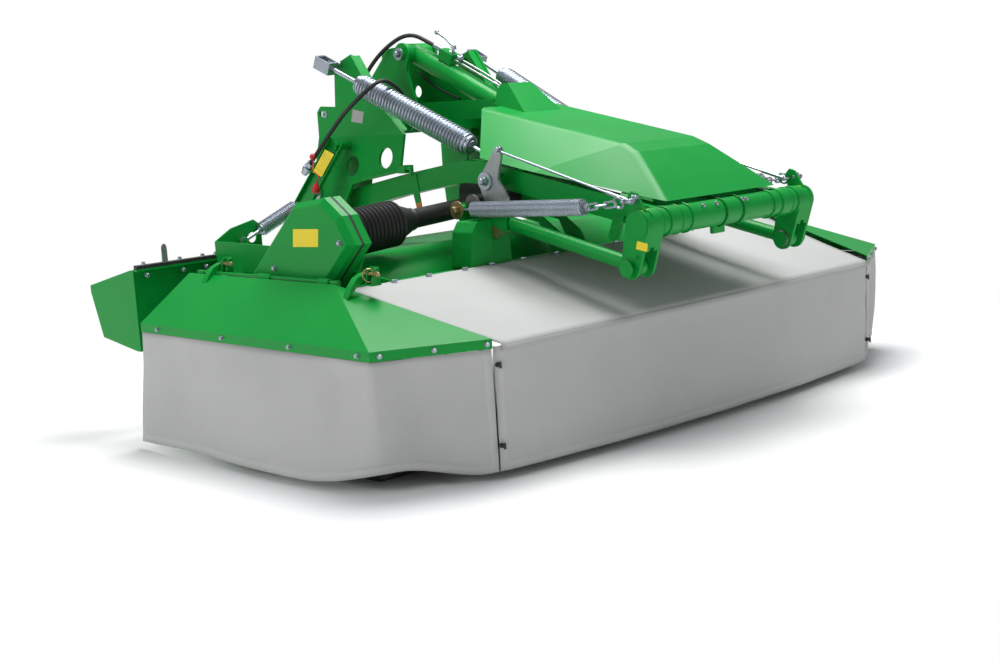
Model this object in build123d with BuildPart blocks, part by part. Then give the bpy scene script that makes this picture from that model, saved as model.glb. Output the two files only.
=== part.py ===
from build123d import *
import os
from math import cos, hypot, radians, sin, tan

# Front-mounted disc mower conditioner: cutter bar with discs, tined conditioner rotor,
# folding side covers with canvas skirts, carrier frame under a hood, and a sprung headstock
# with one lift cylinder. Millimetres. X runs across the machine, +Y towards the tractor
# behind it, +Z up from the ground, and the origin lies under the middle of the machine.
# Right and left are as the driver sees them, looking along -Y: the right side is at -X.

os.makedirs("parts", exist_ok=True)

# ---------------------------------------------------------------- driving dimensions
sheet = 3.0                  # covers and hood
plate = 12.0                 # carrying plates
canvas = 5.0                 # skirts, with their hems
run_gap = 0.05               # radial clearance of a shaft in its bore
part_gap = 6.0               # clearance between pieces that move past each other
seat_gap = 0.3               # clearance of soft pieces on what carries them

cover_half = 1500.0          # machine centre to the outer edge of a side cover
cover_rear = 585.0           # Y of the covers' rear edge
cover_front = -795.0         # Y where the outer edge turns inwards
nose_x = 1130.0              # front corner of a side cover
nose_y = -985.0
edge_z = 485.0               # height of the covers' outer edge
flange = 34.0                # turned-down flange of a cover
ridge_x = 1260.0             # top edge of a side cover, where it hinges
ridge_z = 650.0
ridge_front = -339.0
hinge_x = 1244.0             # hinge line of a side cover
hinge_z = 655.0
hinge_r = 11.0
pin_r = 6.0
hanger_ys = (-320.0, 520.0)  # the two outriggers of each side
hem_z = 30.0                 # lower edge of the skirts
flare = 45.0                 # how far the skirts stand out at the hem

front_x = 1100.0             # front corners of the top canvas
front_y = -1005.0
front_z = 464.0
canvas_rear_x = 1235.0
canvas_rear_y = -380.0
canvas_rear_z = 631.0
bulge = 68.0                 # how far the front skirt bellies out at its hem

disc_count = 7
disc_pitch = 405.0
disc_y = -650.0
disc_r = 165.0
disc_z = 96.0                # underside of the discs
knife_tip = 232.0
knife_width = 45.0
bar_half = 1395.0
bar_front = -700.0
bar_rear = -430.0
bar_low = 40.0
bar_high = 88.0

side_x = 1045.0              # outer face of the side frames
side_plate = 10.0
rotor_y = 30.0
rotor_z = 430.0
rotor_r = 245.0              # tip of the tines
rotor_tube_r = 80.0
rotor_shaft_r = 25.0
beam_low_y = -372.0          # main cross tube
beam_size = 120.0
beam_low_z = 498.0
tower_x = 516.0
tower_top = 800.0

pivot_y = 690.0              # headstock pivot in the carrier beams
pivot_z = 800.0
pivot_r = 25.0
beam_out = 372.0             # carrier beams, outer and inner face
beam_in = 300.0
tube_y = -1095.0             # front cross tube of the carrier
tube_z = 795.0
tube_r = 50.0
tube_half = 490.0
arm_y = -1055.0              # lower pin of the hanger arms
arm_z = 642.0
link_x = 505.0               # tie rods, tension springs and levers

head_x = 360.0               # inner face of the headstock side plates
fold_z = 1125.0              # where the side plates turn outwards
foot_x = 425.0
foot_z = 870.0
cylinder_y = 575.0           # rear pin of the lift cylinder
cylinder_z = 1465.0
eye_y = -815.0               # rod's eye
eye_z = 826.0
barrel_r = 45.0
barrel_bore = 37.0
rod_r = 20.0
barrel_length = 900.0
cheek_x = 72.0               # inner face of the cheeks that carry the cylinder


def slab(x_low, thickness, outline):
    """A plate that stands fore and aft: outline in (Y, Z), from x_low towards +X."""
    with BuildPart() as piece:
        with BuildSketch(Plane.YZ.offset(x_low)):
            Polygon(*outline, align=None)
        extrude(amount=thickness)
    return piece.part


def cross_plate(y_low, thickness, outline):
    """A plate that stands across the machine: outline in (X, Z), from y_low towards +Y."""
    with BuildPart() as piece:
        with BuildSketch(Plane.XZ.offset(-y_low)):
            Polygon(*outline, align=None)
        extrude(amount=-thickness)
    return piece.part


def bar_between(start, end, radius, bore=0.0):
    """A round bar, or a tube if a bore is given, from one point to another."""
    run = Vector(*end) - Vector(*start)
    with BuildPart() as piece:
        with BuildSketch(Plane(origin=start, z_dir=run)):
            Circle(radius)
            if bore:
                Circle(bore, mode=Mode.SUBTRACT)
        extrude(amount=run.length)
    return piece.part


def along_x(y, z, radius, x_low, x_high, bore=0.0):
    return bar_between((x_low, y, z), (x_high, y, z), radius, bore)


# ---------------------------------------------------------------- cutter bar and skids
with BuildPart() as cutter_bar:
    with BuildSketch(Plane.YZ.offset(-bar_half)):
        with BuildLine():
            Polyline((bar_front + 24, bar_high), (bar_rear, bar_high), (bar_rear, bar_low),
                     (bar_front + 24, bar_low))
            ThreePointArc((bar_front + 24, bar_low), (bar_front, (bar_low + bar_high) / 2),
                          (bar_front + 24, bar_high))
        make_face()
    extrude(amount=2 * bar_half)
    for sign in (-1, 1):     # forked feet that bolt to the side frames
        with Locations((sign * (side_x - side_plate / 2), bar_rear + 45, (bar_low + bar_high) / 2)):
            Box(side_plate + 60, 90, bar_high - bar_low)
            Box(side_plate + 2 * seat_gap, 90, bar_high - bar_low, mode=Mode.SUBTRACT)
cutter_bar.part.label = "cutter_bar"
export_step(cutter_bar.part, "parts/cutter_bar.step")

disc_xs = [(index - (disc_count - 1) / 2) * disc_pitch for index in range(disc_count)]
skid_width = 300.0
skid_outline = [(bar_front - 10, bar_low + 14), (bar_front - 10, bar_low + 2),
                (bar_front + 50, 4), (bar_front + 110, 0), (bar_rear + 60, 0), (bar_rear + 130, 26),
                (bar_rear + 130, 34), (bar_rear + 60, 8), (bar_rear, 8), (bar_rear, bar_low),
                (bar_front - 4, bar_low), (bar_front - 4, bar_low + 14)]
with BuildPart() as skids:
    for x in disc_xs:
        add(slab(x - skid_width / 2, skid_width, skid_outline))
skids.part.label = "skids"
export_step(skids.part, "parts/skids.step")

# ---------------------------------------------------------------- mowing discs, two knives each
knife_root = 128.0
knife_thick = 5.0
for index, x in enumerate(disc_xs, start=1):
    with BuildPart() as disc:
        with BuildSketch(Plane.XZ):
            with BuildLine():
                Polyline((0, bar_high + 0.5), (62, bar_high + 0.5), (62, disc_z), (disc_r - 12, disc_z),
                         (disc_r, disc_z + 6), (disc_r, disc_z + 12), (95, disc_z + 30),
                         (70, disc_z + 52), (0, disc_z + 52), (0, bar_high + 0.5))
            make_face()
        revolve(axis=Axis.Z)
        with BuildSketch(Plane.XY.offset(disc_z + 6)):
            for turn in (0, 180):
                with Locations(Location((0, 0, 0), (0, 0, turn))):
                    Polygon((knife_root, -knife_width / 2), (knife_tip - 8, -knife_width / 2),
                            (knife_tip, 0), (knife_tip - 8, knife_width / 2),
                            (knife_root, knife_width / 2), align=None)
        extrude(amount=knife_thick)
    placed = Location((x, disc_y, 0), (0, 0, 90 * (index % 2))) * disc.part
    placed.label = f"disc_{index}"
    export_step(placed, f"parts/disc_{index}.step")

# ---------------------------------------------------------------- side frames and main beam
side_outline = [(bar_rear, bar_low), (bar_rear, 300), (beam_low_y - 30, 420), (beam_low_y - 30, 600),
                (beam_low_y - 6, 616), (beam_low_y + 2, 640), (-40, 680), (60, 735), (150, 735),
                (640, 745), (705, 745), (705, 600), (540, 500),
                (540, 260), (330, 150), (-150, 90), (bar_rear + 100, bar_low)]
bearing_r = 62.0
belt_in = -1105.0            # inner face of the belt drive's case
with BuildPart() as side_frames:
    add(slab(-side_x, side_plate, side_outline))
    add(along_x(rotor_y, rotor_z, bearing_r, belt_in - 9, -side_x + 20))
    with Locations(Location((-side_x, rotor_y, rotor_z), (0, 90, 0))):
        Cylinder(rotor_shaft_r + run_gap, 400, mode=Mode.SUBTRACT)
    for y in hanger_ys:      # outriggers that hold the hinge rods of the side covers
        with Locations((-(side_x + hinge_x) / 2, y, ridge_z - 38)):
            Box(hinge_x - side_x, 40, 30)
        with Locations((-hinge_x, y, ridge_z - 21)):
            Box(16, 40, 64)
    add(bar_between((-hinge_x, hanger_ys[0] - 20, hinge_z), (-hinge_x, hanger_ys[1] + 20, hinge_z), pin_r))
    mirror(about=Plane.YZ)
side_frames.part.label = "side_frames"
export_step(side_frames.part, "parts/side_frames.step")

beam_x = side_x - side_plate
with BuildPart() as main_beam:
    with BuildSketch(Plane.YZ.offset(-beam_x)):
        with Locations((beam_low_y + beam_size / 2, beam_low_z + beam_size / 2)):
            RectangleRounded(beam_size, beam_size, 12)
            RectangleRounded(beam_size - 16, beam_size - 16, 6, mode=Mode.SUBTRACT)
    extrude(amount=2 * beam_x)
main_beam.part.label = "main_beam"
export_step(main_beam.part, "parts/main_beam.step")

# ---------------------------------------------------------------- conditioner
tine_rows = 6
tine_pitch = 95.0
tine_count = 20
tine_r = 9.0
with BuildPart() as conditioner_rotor:
    add(along_x(rotor_y, rotor_z, rotor_tube_r, -beam_x + 12, beam_x - 12))
    add(along_x(rotor_y, rotor_z, rotor_shaft_r, belt_in - 30, side_x + 24))
conditioner_rotor.part.label = "conditioner_rotor"
export_step(conditioner_rotor.part, "parts/conditioner_rotor.step")

with BuildPart() as rotor_tines:
    for column in range(tine_count):
        x = (column - (tine_count - 1) / 2) * tine_pitch
        for turn in range(0, 360, 360 // tine_rows * 2):
            angle = radians(turn + 60 * (column % 2))
            reach = Vector(0, cos(angle), sin(angle))
            hub = Vector(x, rotor_y, rotor_z)
            add(bar_between(tuple(hub + reach * (rotor_tube_r - 6)), tuple(hub + reach * rotor_r), tine_r))
    add(along_x(rotor_y, rotor_z, rotor_tube_r + seat_gap, -beam_x, beam_x), mode=Mode.SUBTRACT)
rotor_tines.part.label = "rotor_tines"
export_step(rotor_tines.part, "parts/rotor_tines.step")

# The sheet over the rotor: an arc round the tines, then a straight run to the rear edge.
chute_gap = 15.0


def chute(radius, drop):
    start = radians(158)
    end = radians(72)
    mid = (start + end) / 2
    return ((rotor_y + radius * cos(start), rotor_z + radius * sin(start)),
            (rotor_y + radius * cos(mid), rotor_z + radius * sin(mid)),
            (rotor_y + radius * cos(end), rotor_z + radius * sin(end)),
            (640, 655 - drop))


outer_arc = chute(rotor_r + chute_gap + 5, 0)
inner_arc = chute(rotor_r + chute_gap, 5)
with BuildPart() as conditioner_housing:
    with BuildSketch(Plane.YZ.offset(-beam_x)):
        with BuildLine():
            ThreePointArc(outer_arc[0], outer_arc[1], outer_arc[2])
            Line(outer_arc[2], outer_arc[3])
            Line(outer_arc[3], inner_arc[3])
            Line(inner_arc[3], inner_arc[2])
            ThreePointArc(inner_arc[2], inner_arc[1], inner_arc[0])
            Line(inner_arc[0], outer_arc[0])
        make_face()
    extrude(amount=2 * beam_x)
conditioner_housing.part.label = "conditioner_housing"
export_step(conditioner_housing.part, "parts/conditioner_housing.step")

# ---------------------------------------------------------------- drive towers on the main beam
tower_base = beam_low_z + beam_size
spring_anchor = (-222.0, 838.0)          # (Y, Z) of the tension spring's rear bolt
tie_rear = (-409.0, 785.0)
hanger_in = 412.0            # inner face of the hanger arms
tie_x = (tube_half + hanger_in + plate) / 2
tie_pin_r = 14.0
spring_r = 32.0
spring_x = link_x + spring_r
with BuildPart() as drive_towers:
    with BuildSketch(Plane.XZ.offset(-beam_low_y - 5)):          # cast housing, wider at its foot
        Polygon((-tower_x - 112, tower_base), (-tower_x + 110, tower_base), (-tower_x + 104, 728),
                (-tower_x + 64, 775), (-tower_x + 24, tower_top), (-tower_x - 66, tower_top),
                (-tower_x - 94, 760), align=None)
    extrude(amount=10 - beam_size)
    fillet(drive_towers.edges().filter_by(Axis.Y), 16)
    add(slab(-link_x + 5, plate, [(beam_low_y + 4, tower_base), (beam_low_y + 116, tower_base),
                                          (beam_low_y + 130, 700), (-175, 800), (-175, 862),
                                          (-245, 866), (-315, tower_top + 12), (tie_rear[0] - 28, 812),
                                          (tie_rear[0] - 28, 755), (beam_low_y + 4, 720)]))
    add(along_x(*spring_anchor, 20, -spring_x - 8, -link_x + 5))
    add(along_x(*tie_rear, tie_pin_r, -link_x + 5, -tie_x + 20))
    mirror(about=Plane.YZ)
drive_towers.part.label = "drive_towers"
export_step(drive_towers.part, "parts/drive_towers.step")

# ---------------------------------------------------------------- belt drive on the right side
belt_outline = [(-371, 780), (-304, 883), (-209, 947), (-40, 926), (263, 656), (263, 330),
                (150, 300), (-60, 300), (-179, 600)]
belt_out = -1200.0
belt_seam_x = -1150.0
seam_width = 12.0
cup_length = 14.0
belt_shaft = (-90.0, 787.0)              # (Y, Z) of the upper pulley
with BuildPart() as belt_cover:
    with BuildSketch(Plane.YZ.offset(belt_out)):
        Polygon(*belt_outline, align=None)
    extrude(amount=belt_seam_x - belt_out)
    chamfer(belt_cover.faces().sort_by(Axis.X)[0].edges(), 22)
    offset(amount=-sheet, openings=belt_cover.faces().sort_by(Axis.X)[-1])
belt_cover.part.label = "belt_cover"
export_step(belt_cover.part, "parts/belt_cover.step")

with BuildPart() as belt_seal:
    with BuildSketch(Plane.YZ.offset(belt_seam_x)):
        Polygon(*belt_outline, align=None)
        offset(amount=-1, kind=Kind.INTERSECTION)
        offset(amount=-14, kind=Kind.INTERSECTION, mode=Mode.SUBTRACT)
    extrude(amount=seam_width)
belt_seal.part.label = "belt_seal"
export_step(belt_seal.part, "parts/belt_seal.step")

with BuildPart() as belt_backing:
    with BuildSketch(Plane.YZ.offset(belt_seam_x + seam_width)):
        Polygon(*belt_outline, align=None)
    extrude(amount=belt_in - belt_seam_x - seam_width)
    offset(amount=-sheet, openings=belt_backing.faces().sort_by(Axis.X)[0])
    with Locations(Location((belt_in, rotor_y, rotor_z), (0, 90, 0))):
        Cylinder(bearing_r + seat_gap, 60, mode=Mode.SUBTRACT)
    add(along_x(*belt_shaft, 62, belt_in, belt_in + cup_length))
belt_backing.part.label = "belt_backing"
export_step(belt_backing.part, "parts/belt_backing.step")

# The guard of the cross driveshaft: a bellows at the belt drive and a plain tube to the gearbox.
gear_x = 95.0
guard_from = (belt_in + cup_length + part_gap, belt_shaft[0], belt_shaft[1])
guard_to = (-gear_x - 3, belt_shaft[0], 850.0)
guard_run = Vector(*guard_to) - Vector(*guard_from)
bellows_r = 92.0
bellows = 415.0
guard_r = 38.0
with BuildPart() as driveshaft_guard:
    with BuildSketch(Plane(origin=guard_from, x_dir=(0, 1, 0), z_dir=guard_run)):
        Circle(bellows_r)
    with BuildSketch(Plane(origin=Vector(*guard_from) + guard_run.normalized() * (bellows - 85),
                           x_dir=(0, 1, 0), z_dir=guard_run)):
        Circle(bellows_r - 2)
    with BuildSketch(Plane(origin=Vector(*guard_from) + guard_run.normalized() * bellows, x_dir=(0, 1, 0),
                           z_dir=guard_run)):
        Circle(guard_r + 4)
    loft(ruled=True)
    add(bar_between(tuple(Vector(*guard_from) + guard_run.normalized() * (bellows - 5)), guard_to, guard_r))
driveshaft_guard.part.label = "driveshaft_guard"
export_step(driveshaft_guard.part, "parts/driveshaft_guard.step")

input_y = 215.0
with BuildPart() as centre_gearbox:
    with Locations((0, belt_shaft[0], 850)):
        Box(2 * gear_x, 200, 150)
    fillet(centre_gearbox.edges().filter_by(Axis.Y), 30)
    add(bar_between((0, belt_shaft[0] + 90, 850), (0, 70, 850), 60))
    add(bar_between((0, 60, 850), (0, input_y, 850), 17.4))
    for sign in (-1, 1):     # feet on the main beam
        add(slab(sign * 60 - 6, 12, [(-150, 800), (10, 800), (10, 775), (-190, 740), (-256, tower_base),
                                     (-350, tower_base), (-300, 700)]))
centre_gearbox.part.label = "centre_gearbox"
export_step(centre_gearbox.part, "parts/centre_gearbox.step")

# ---------------------------------------------------------------- carrier frame under the hood
beam_tip = (tube_y + 35, 845.0)          # (Y, Z) where the top of a beam meets the front tube
beam_rise = 0.198
carrier_outline = [(735, 815), (720, 882), (262, 965), (-92, 1018), (-231, 1009), beam_tip,
                   (beam_tip[0], 757), (-215, 924), (-80, 929), (170, 893), (324, 868), (620, 808),
                   (655, 760), (pivot_y, pivot_z - 48)]
lever_x = beam_out + 78
lever_pin = (-297.0, 943.0)              # (Y, Z)
lever_pin_r = 18.0
with BuildPart() as carrier_beams:
    add(slab(-beam_out, beam_out - beam_in, carrier_outline))
    add(along_x(pivot_y, pivot_z, 48, -beam_out, -beam_in))
    add(along_x(tube_y, tube_z, tube_r + 3, -beam_out, -beam_in))
    add(slab(-beam_out, beam_out - beam_in, [(tube_y + 25, 842), (tube_y + 45, 842), (tube_y + 45, 760),
                                               (tube_y + 25, 757)]))
    with Locations(Location((-(beam_out + beam_in) / 2, tube_y, tube_z), (0, 90, 0))):
        Cylinder(tube_r + run_gap, 2 * (beam_out - beam_in), mode=Mode.SUBTRACT)
    with Locations(Location((-(beam_out + beam_in) / 2, pivot_y, pivot_z), (0, 90, 0))):
        Cylinder(pivot_r + run_gap, 2 * (beam_out - beam_in), mode=Mode.SUBTRACT)
    add(along_x(*lever_pin, 26, -lever_x + plate / 2 + seat_gap, -beam_out))
    add(along_x(*lever_pin, lever_pin_r, -lever_x - plate / 2 - 14, -beam_out))
    mirror(about=Plane.YZ)
carrier_beams.part.label = "carrier_beams"
export_step(carrier_beams.part, "parts/carrier_beams.step")

with BuildPart() as cross_member:
    with Locations((0, -175, 960)):
        Box(2 * beam_in, 80, 60)
cross_member.part.label = "cross_member"
export_step(cross_member.part, "parts/cross_member.step")

lug_in = 26.0
eye_pin_r = 18.0
spring_front = (tube_y + 37, 880.0)          # (Y, Z) of the eye bolt that ends the tension spring
with BuildPart() as cross_tube:
    add(along_x(tube_y, tube_z, tube_r, -tube_half, tube_half))
    for x in (-lug_in - plate, lug_in):
        add(slab(x, plate, [(tube_y + 20, 841), (eye_y + 30, eye_z + 36), (eye_y + 36, eye_z - 34),
                            (tube_y + 20, 749), (tube_y - 5, 746), (tube_y - 5, 843)]))
    add(along_x(eye_y, eye_z, eye_pin_r, -lug_in - plate - 8, lug_in + plate + 8))
    for sign in (-1, 1):     # upright lugs for the tension springs and the wire ropes
        add(slab(sign * (link_x - 28) - 5, 10, [(-1122, 838), (-1048, 832), (-1040, 895), (-1056, 912),
                                                (-1080, 905)]))
cross_tube.part.label = "cross_tube"
export_step(cross_tube.part, "parts/cross_tube.step")

ring_r = tube_r + 3
arm_r = 42.0
with BuildSketch(Plane.YZ) as arm_profile:
    with Locations((tube_y, tube_z)):
        Circle(ring_r)
    with Locations((arm_y, arm_z)):
        Circle(arm_r)
    make_hull()
front_wall = 10.0
with BuildSketch(Plane.YZ) as arm_front:     # the front wall, below the tube
    with Locations((tube_y, tube_z)):
        Circle(ring_r)
    with Locations((arm_y, arm_z)):
        Circle(arm_r)
    make_hull()
    with Locations((tube_y, tube_z)):
        Circle(ring_r - front_wall, mode=Mode.SUBTRACT)
    with Locations((tube_y + front_wall + 4, arm_z), (arm_y, arm_z)):
        Circle(arm_r, mode=Mode.SUBTRACT)
    Polygon((tube_y - ring_r + front_wall, tube_z), (arm_y - arm_r + front_wall, arm_z - 100),
            (arm_y + 100, arm_z - 100), (tube_y + 100, tube_z + 100), (tube_y - ring_r, tube_z + 100),
            align=None, mode=Mode.SUBTRACT)
with BuildPart() as hanger_arms:
    for low, profile, thickness in ((-tube_half - plate - seat_gap, arm_profile, plate),
                                    (-hanger_in - plate, arm_profile, plate),
                                    (-tube_half - seat_gap - 2, arm_front, tube_half - hanger_in + seat_gap)):
        extrude(profile.sketch.moved(Location((low, 0, 0))), amount=thickness, dir=(1, 0, 0))
    add(along_x(tube_y, tube_z, ring_r, -hanger_in - 54, -hanger_in))
    add(along_x(tube_y, tube_z, tube_r + run_gap, -tube_half - seat_gap, -hanger_in + 1), mode=Mode.SUBTRACT)
    add(along_x(arm_y, arm_z, tie_pin_r + run_gap, -tube_half - 2 * plate, -hanger_in + 1),
        mode=Mode.SUBTRACT)
    with Locations((-tie_x, tube_y - 20, (arm_z + tube_z) / 2 - 26)):
        Box(22, 80, 40, mode=Mode.SUBTRACT)
    mirror(about=Plane.YZ)
hanger_arms.part.label = "hanger_arms"
export_step(hanger_arms.part, "parts/hanger_arms.step")

tie_pins = ((-tie_x, tie_rear[0], tie_rear[1]), (-tie_x, arm_y, arm_z))
tie_r = 27.0
tie_run = (Vector(*tie_pins[1]) - Vector(*tie_pins[0])).normalized()
with BuildPart() as tie_rods:
    tube_ends = [tuple(Vector(*tie_pins[0]) + tie_run * 24), tuple(Vector(*tie_pins[1]) - tie_run * 24)]
    add(bar_between(tube_ends[0], tube_ends[1], tie_r))
    for x, y, z in tie_pins:
        add(along_x(y, z, 30, x - 14, x + 14))
    with Locations(Location((-tie_x, tie_rear[0], tie_rear[1]), (0, 90, 0))):
        Cylinder(tie_pin_r + run_gap, 80, mode=Mode.SUBTRACT)
    add(along_x(arm_y, arm_z, tie_pin_r, -tube_half - plate - 10, -hanger_in + 8))
    mirror(about=Plane.YZ)
tie_rods.part.label = "tie_rods"
export_step(tie_rods.part, "parts/tie_rods.step")

spring_rear_end = (-spring_x, -306.0, 841.0)
spring_front_end = (-spring_x, -880.0, 858.0)
with BuildPart() as tension_springs:
    add(bar_between(spring_rear_end, spring_front_end, spring_r))
    add(bar_between((-spring_x, spring_anchor[0] - 20 - seat_gap, spring_anchor[1]), spring_rear_end, 6))
    mirror(about=Plane.YZ)
tension_springs.part.label = "tension_springs"
export_step(tension_springs.part, "parts/tension_springs.step")

with BuildPart() as spring_chains:
    add(bar_between((-spring_x, spring_front_end[1] - 1.6, 858.3), (-link_x + 8, -1010, 870), 6))
    add(bar_between((-link_x + 8, -1010, 870), (-link_x + 15, spring_front[0], spring_front[1]), 6))
    mirror(about=Plane.YZ)
spring_chains.part.label = "spring_chains"
export_step(spring_chains.part, "parts/spring_chains.step")

with BuildPart() as lift_levers:
    with BuildSketch(Plane.YZ.offset(-lever_x - plate / 2)):
        with BuildLine():
            Polyline((-394, 1056), (-376, 1078), (-356, 1068), (-262, 952), (-268, 905), (-288, 862),
                     (-410, 862), (-412, 880), (-362, 950), close=True)
        make_face()
        with Locations(lever_pin):
            Circle(34)
            Circle(lever_pin_r + run_gap, mode=Mode.SUBTRACT)
    extrude(amount=plate)
    mirror(about=Plane.YZ)
lift_levers.part.label = "lift_levers"
export_step(lift_levers.part, "parts/lift_levers.step")

rope_r = 5.0
with BuildPart() as wire_ropes:
    rope_end = Vector(-link_x + 28 + 5 + rope_r + seat_gap, -1046, 872)
    add(bar_between((-lever_x - plate / 2 - rope_r - seat_gap, -378, 1060), tuple(rope_end), rope_r))
    mirror(about=Plane.YZ)
wire_ropes.part.label = "wire_ropes"
export_step(wire_ropes.part, "parts/wire_ropes.step")

# ---------------------------------------------------------------- hood over the carrier
hood_top_half = 210.0
hood_low_half = 420.0
hood_front_half = 332.0
hood_round = 50.0            # rounding between the roof and the side panels
hood_profile = [(-45, 1220), (-800, 1064), (-870, 1032), (-1005, 930), (-1092, 862), (-235, 1030)]
hood_waist = -520.0          # Y where the lower edge begins to run inwards
bump_profile = [(0, 1200), (-4, 1290), (-22, 1312), (-60, 1312), (-250, 1130), (-60, 1130)]
bump_half = 108.0


def height_on(start, end, y):
    """Height at y of the line through two of the hood's (Y, Z) points."""
    return start[1] + (y - start[0]) * (end[1] - start[1]) / (end[0] - start[0])


def fall(start, end):
    """Slope of one of the hood's top faces, and the vertical thickness of the sheet there."""
    slope = (end[1] - start[1]) / (end[0] - start[0])
    return slope, sheet * hypot(1, slope)


hood_rear, hood_brow, _, hood_chin, hood_lip, hood_heel = hood_profile
side_lean = (hood_low_half - hood_top_half) / (height_on(hood_rear, hood_brow, hood_heel[0]) - hood_heel[1])
waist_z = height_on(hood_heel, hood_lip, hood_waist)
waist_half = hood_top_half + side_lean * (height_on(hood_rear, hood_brow, hood_waist) - waist_z)
side_corners = [(hood_low_half, *hood_heel), (hood_top_half, *hood_rear), (hood_top_half, *hood_brow)]
cheek_corners = [(hood_front_half, *hood_lip), (hood_top_half, *hood_brow), (waist_half, hood_waist, waist_z)]


def side_slice(sign, inset, corners=side_corners):
    """What lies outside a leaning side panel, given by three of its corners and moved inwards."""
    first, second, third = (Vector(sign * x, y, z) for x, y, z in corners)
    outward = (second - first).cross(third - first).normalized()
    if outward.X * sign < 0:
        outward = outward * -1
    with BuildPart() as block:
        with BuildSketch(Plane(origin=first - outward * inset, x_dir=second - first, z_dir=outward)):
            Rectangle(6000, 6000)
        extrude(amount=1500)
    return block.part


lip_slope, lip_thick = fall(hood_chin, hood_lip)
top_slope, top_thick = fall(hood_rear, hood_brow)
lip = (hood_lip[0] + 1, hood_lip[1] - lip_thick + lip_slope)
roof_z = hood_rear[1] - top_thick
hood_mouth = [lip, (lip[0] + 60, lip[1] + 60 * lip_slope), (-800, 1000), (-300, roof_z - 255 * top_slope),
              (30, roof_z + 75 * top_slope), (30, 700), (lip[0], 700)]


def is_roof_edge(edge):
    """Whether an edge of the hood's body runs between the roof and a side panel."""
    ends = edge.vertices()
    return abs(sum(end.X for end in ends)) > 100 and max(abs(end.X) for end in ends) < hood_front_half + 1


def hood_body(inset):
    """The hood as a full body, or what fills it and its open rear and underside."""
    with BuildPart() as body:
        with BuildSketch(Plane.YZ.offset(-hood_low_half - 60)):
            Polygon(*hood_profile, align=None)
            if inset:
                offset(amount=-inset, kind=Kind.INTERSECTION)
                Polygon(*hood_mouth, align=None)
        extrude(amount=2 * hood_low_half + 120)
        for sign in (-1, 1):
            add(side_slice(sign, inset), mode=Mode.SUBTRACT)
            add(side_slice(sign, inset, cheek_corners), mode=Mode.SUBTRACT)
        fillet([edge for edge in body.edges() if is_roof_edge(edge)], hood_round - inset)
    return body.part


def bump_body(inset):
    with BuildPart() as body:
        with BuildSketch(Plane.YZ.offset(-bump_half + inset)):
            Polygon(*bump_profile, align=None)
            if inset:
                offset(amount=-inset, kind=Kind.INTERSECTION)
        extrude(amount=2 * (bump_half - inset))
        for sign in (-1, 1):
            with BuildSketch(Plane.XZ):
                Polygon((sign * (bump_half - inset), 1190), (sign * 200, 1190), (sign * 200, 1400),
                        (sign * (bump_half - inset - 62), 1400), (sign * (bump_half - inset - 40), 1312),
                        align=None)
            extrude(amount=400, both=True, mode=Mode.SUBTRACT)
    return body.part


bump_mouth = [(60, 1100), (60, 1312 - sheet), (-61, 1312 - sheet), (-245, 1130), (-245, 1100)]
with BuildPart() as hood:
    add(hood_body(0))
    add(bump_body(0))
    add(hood_body(sheet), mode=Mode.SUBTRACT)
    with BuildSketch(Plane.YZ.offset(-bump_half + 40 + sheet)):
        Polygon(*bump_mouth, align=None)
    extrude(amount=2 * (bump_half - 40 - sheet), mode=Mode.SUBTRACT)
hood.part.label = "hood"
export_step(hood.part, "parts/hood.step")

with BuildPart() as hood_brackets:
    for y in (-930, -420):
        low = beam_tip[1] + (y + 25 - beam_tip[0]) * beam_rise
        with Locations((-beam_out + 25, y, low + 35)):
            Box(50, 50, 70)
    add(side_slice(-1, sheet + seat_gap), mode=Mode.SUBTRACT)
    add(side_slice(-1, sheet + seat_gap, cheek_corners), mode=Mode.SUBTRACT)
    mirror(about=Plane.YZ)
hood_brackets.part.label = "hood_brackets"
export_step(hood_brackets.part, "parts/hood_brackets.step")

# ---------------------------------------------------------------- top canvas and front skirt
canvas_slope = (canvas_rear_z - front_z) / (canvas_rear_y - front_y)
canvas_run = hypot(canvas_rear_y - front_y, canvas_rear_z - front_z)
with BuildPart() as top_canvas:
    with BuildSketch(Plane(origin=(0, front_y, front_z), x_dir=(1, 0, 0), z_dir=(0, -canvas_slope, 1))):
        Polygon((-front_x, 0), (front_x, 0), (canvas_rear_x, canvas_run), (-canvas_rear_x, canvas_run),
                align=None)
    extrude(amount=-canvas)
top_canvas.part.label = "top_canvas"
export_step(top_canvas.part, "parts/top_canvas.step")


def bow(y, sag, flap_x, flap_y, z):
    """One level of the front skirt: an arc in plan with a flap at each end, canvas thick."""
    half = front_x - 16
    with BuildSketch(Plane.XY.offset(z)) as level:
        with BuildLine():
            Line((-half - flap_x, y + flap_y), (-half, y))
            ThreePointArc((-half, y), (0, y - sag), (half, y))
            Line((half, y), (half + flap_x, y + flap_y))
            Line((half + flap_x, y + flap_y), (half + flap_x, y + flap_y + canvas))
            Line((half + flap_x, y + flap_y + canvas), (half, y + canvas))
            ThreePointArc((half, y + canvas), (0, y + canvas - sag), (-half, y + canvas))
            Line((-half, y + canvas), (-half - flap_x, y + flap_y + canvas))
            Line((-half - flap_x, y + flap_y + canvas), (-half - flap_x, y + flap_y))
        make_face()
    return level.sketch


skirt_top = front_z - canvas * hypot(1, canvas_slope) - seat_gap
skirt_end = nose_x - part_gap            # the side skirts begin here
with BuildPart() as front_skirt:
    add(bow(front_y, 4, skirt_end - front_x + 16, 24, skirt_top))
    add(bow(front_y + 20, bulge, skirt_end - front_x + 6, 12, hem_z))
    loft(ruled=True)
front_skirt.part.label = "front_skirt"
export_step(front_skirt.part, "parts/front_skirt.step")


def under_canvas(y):
    return front_z + (y - front_y) * canvas_slope - canvas * hypot(1, canvas_slope) - seat_gap


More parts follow.
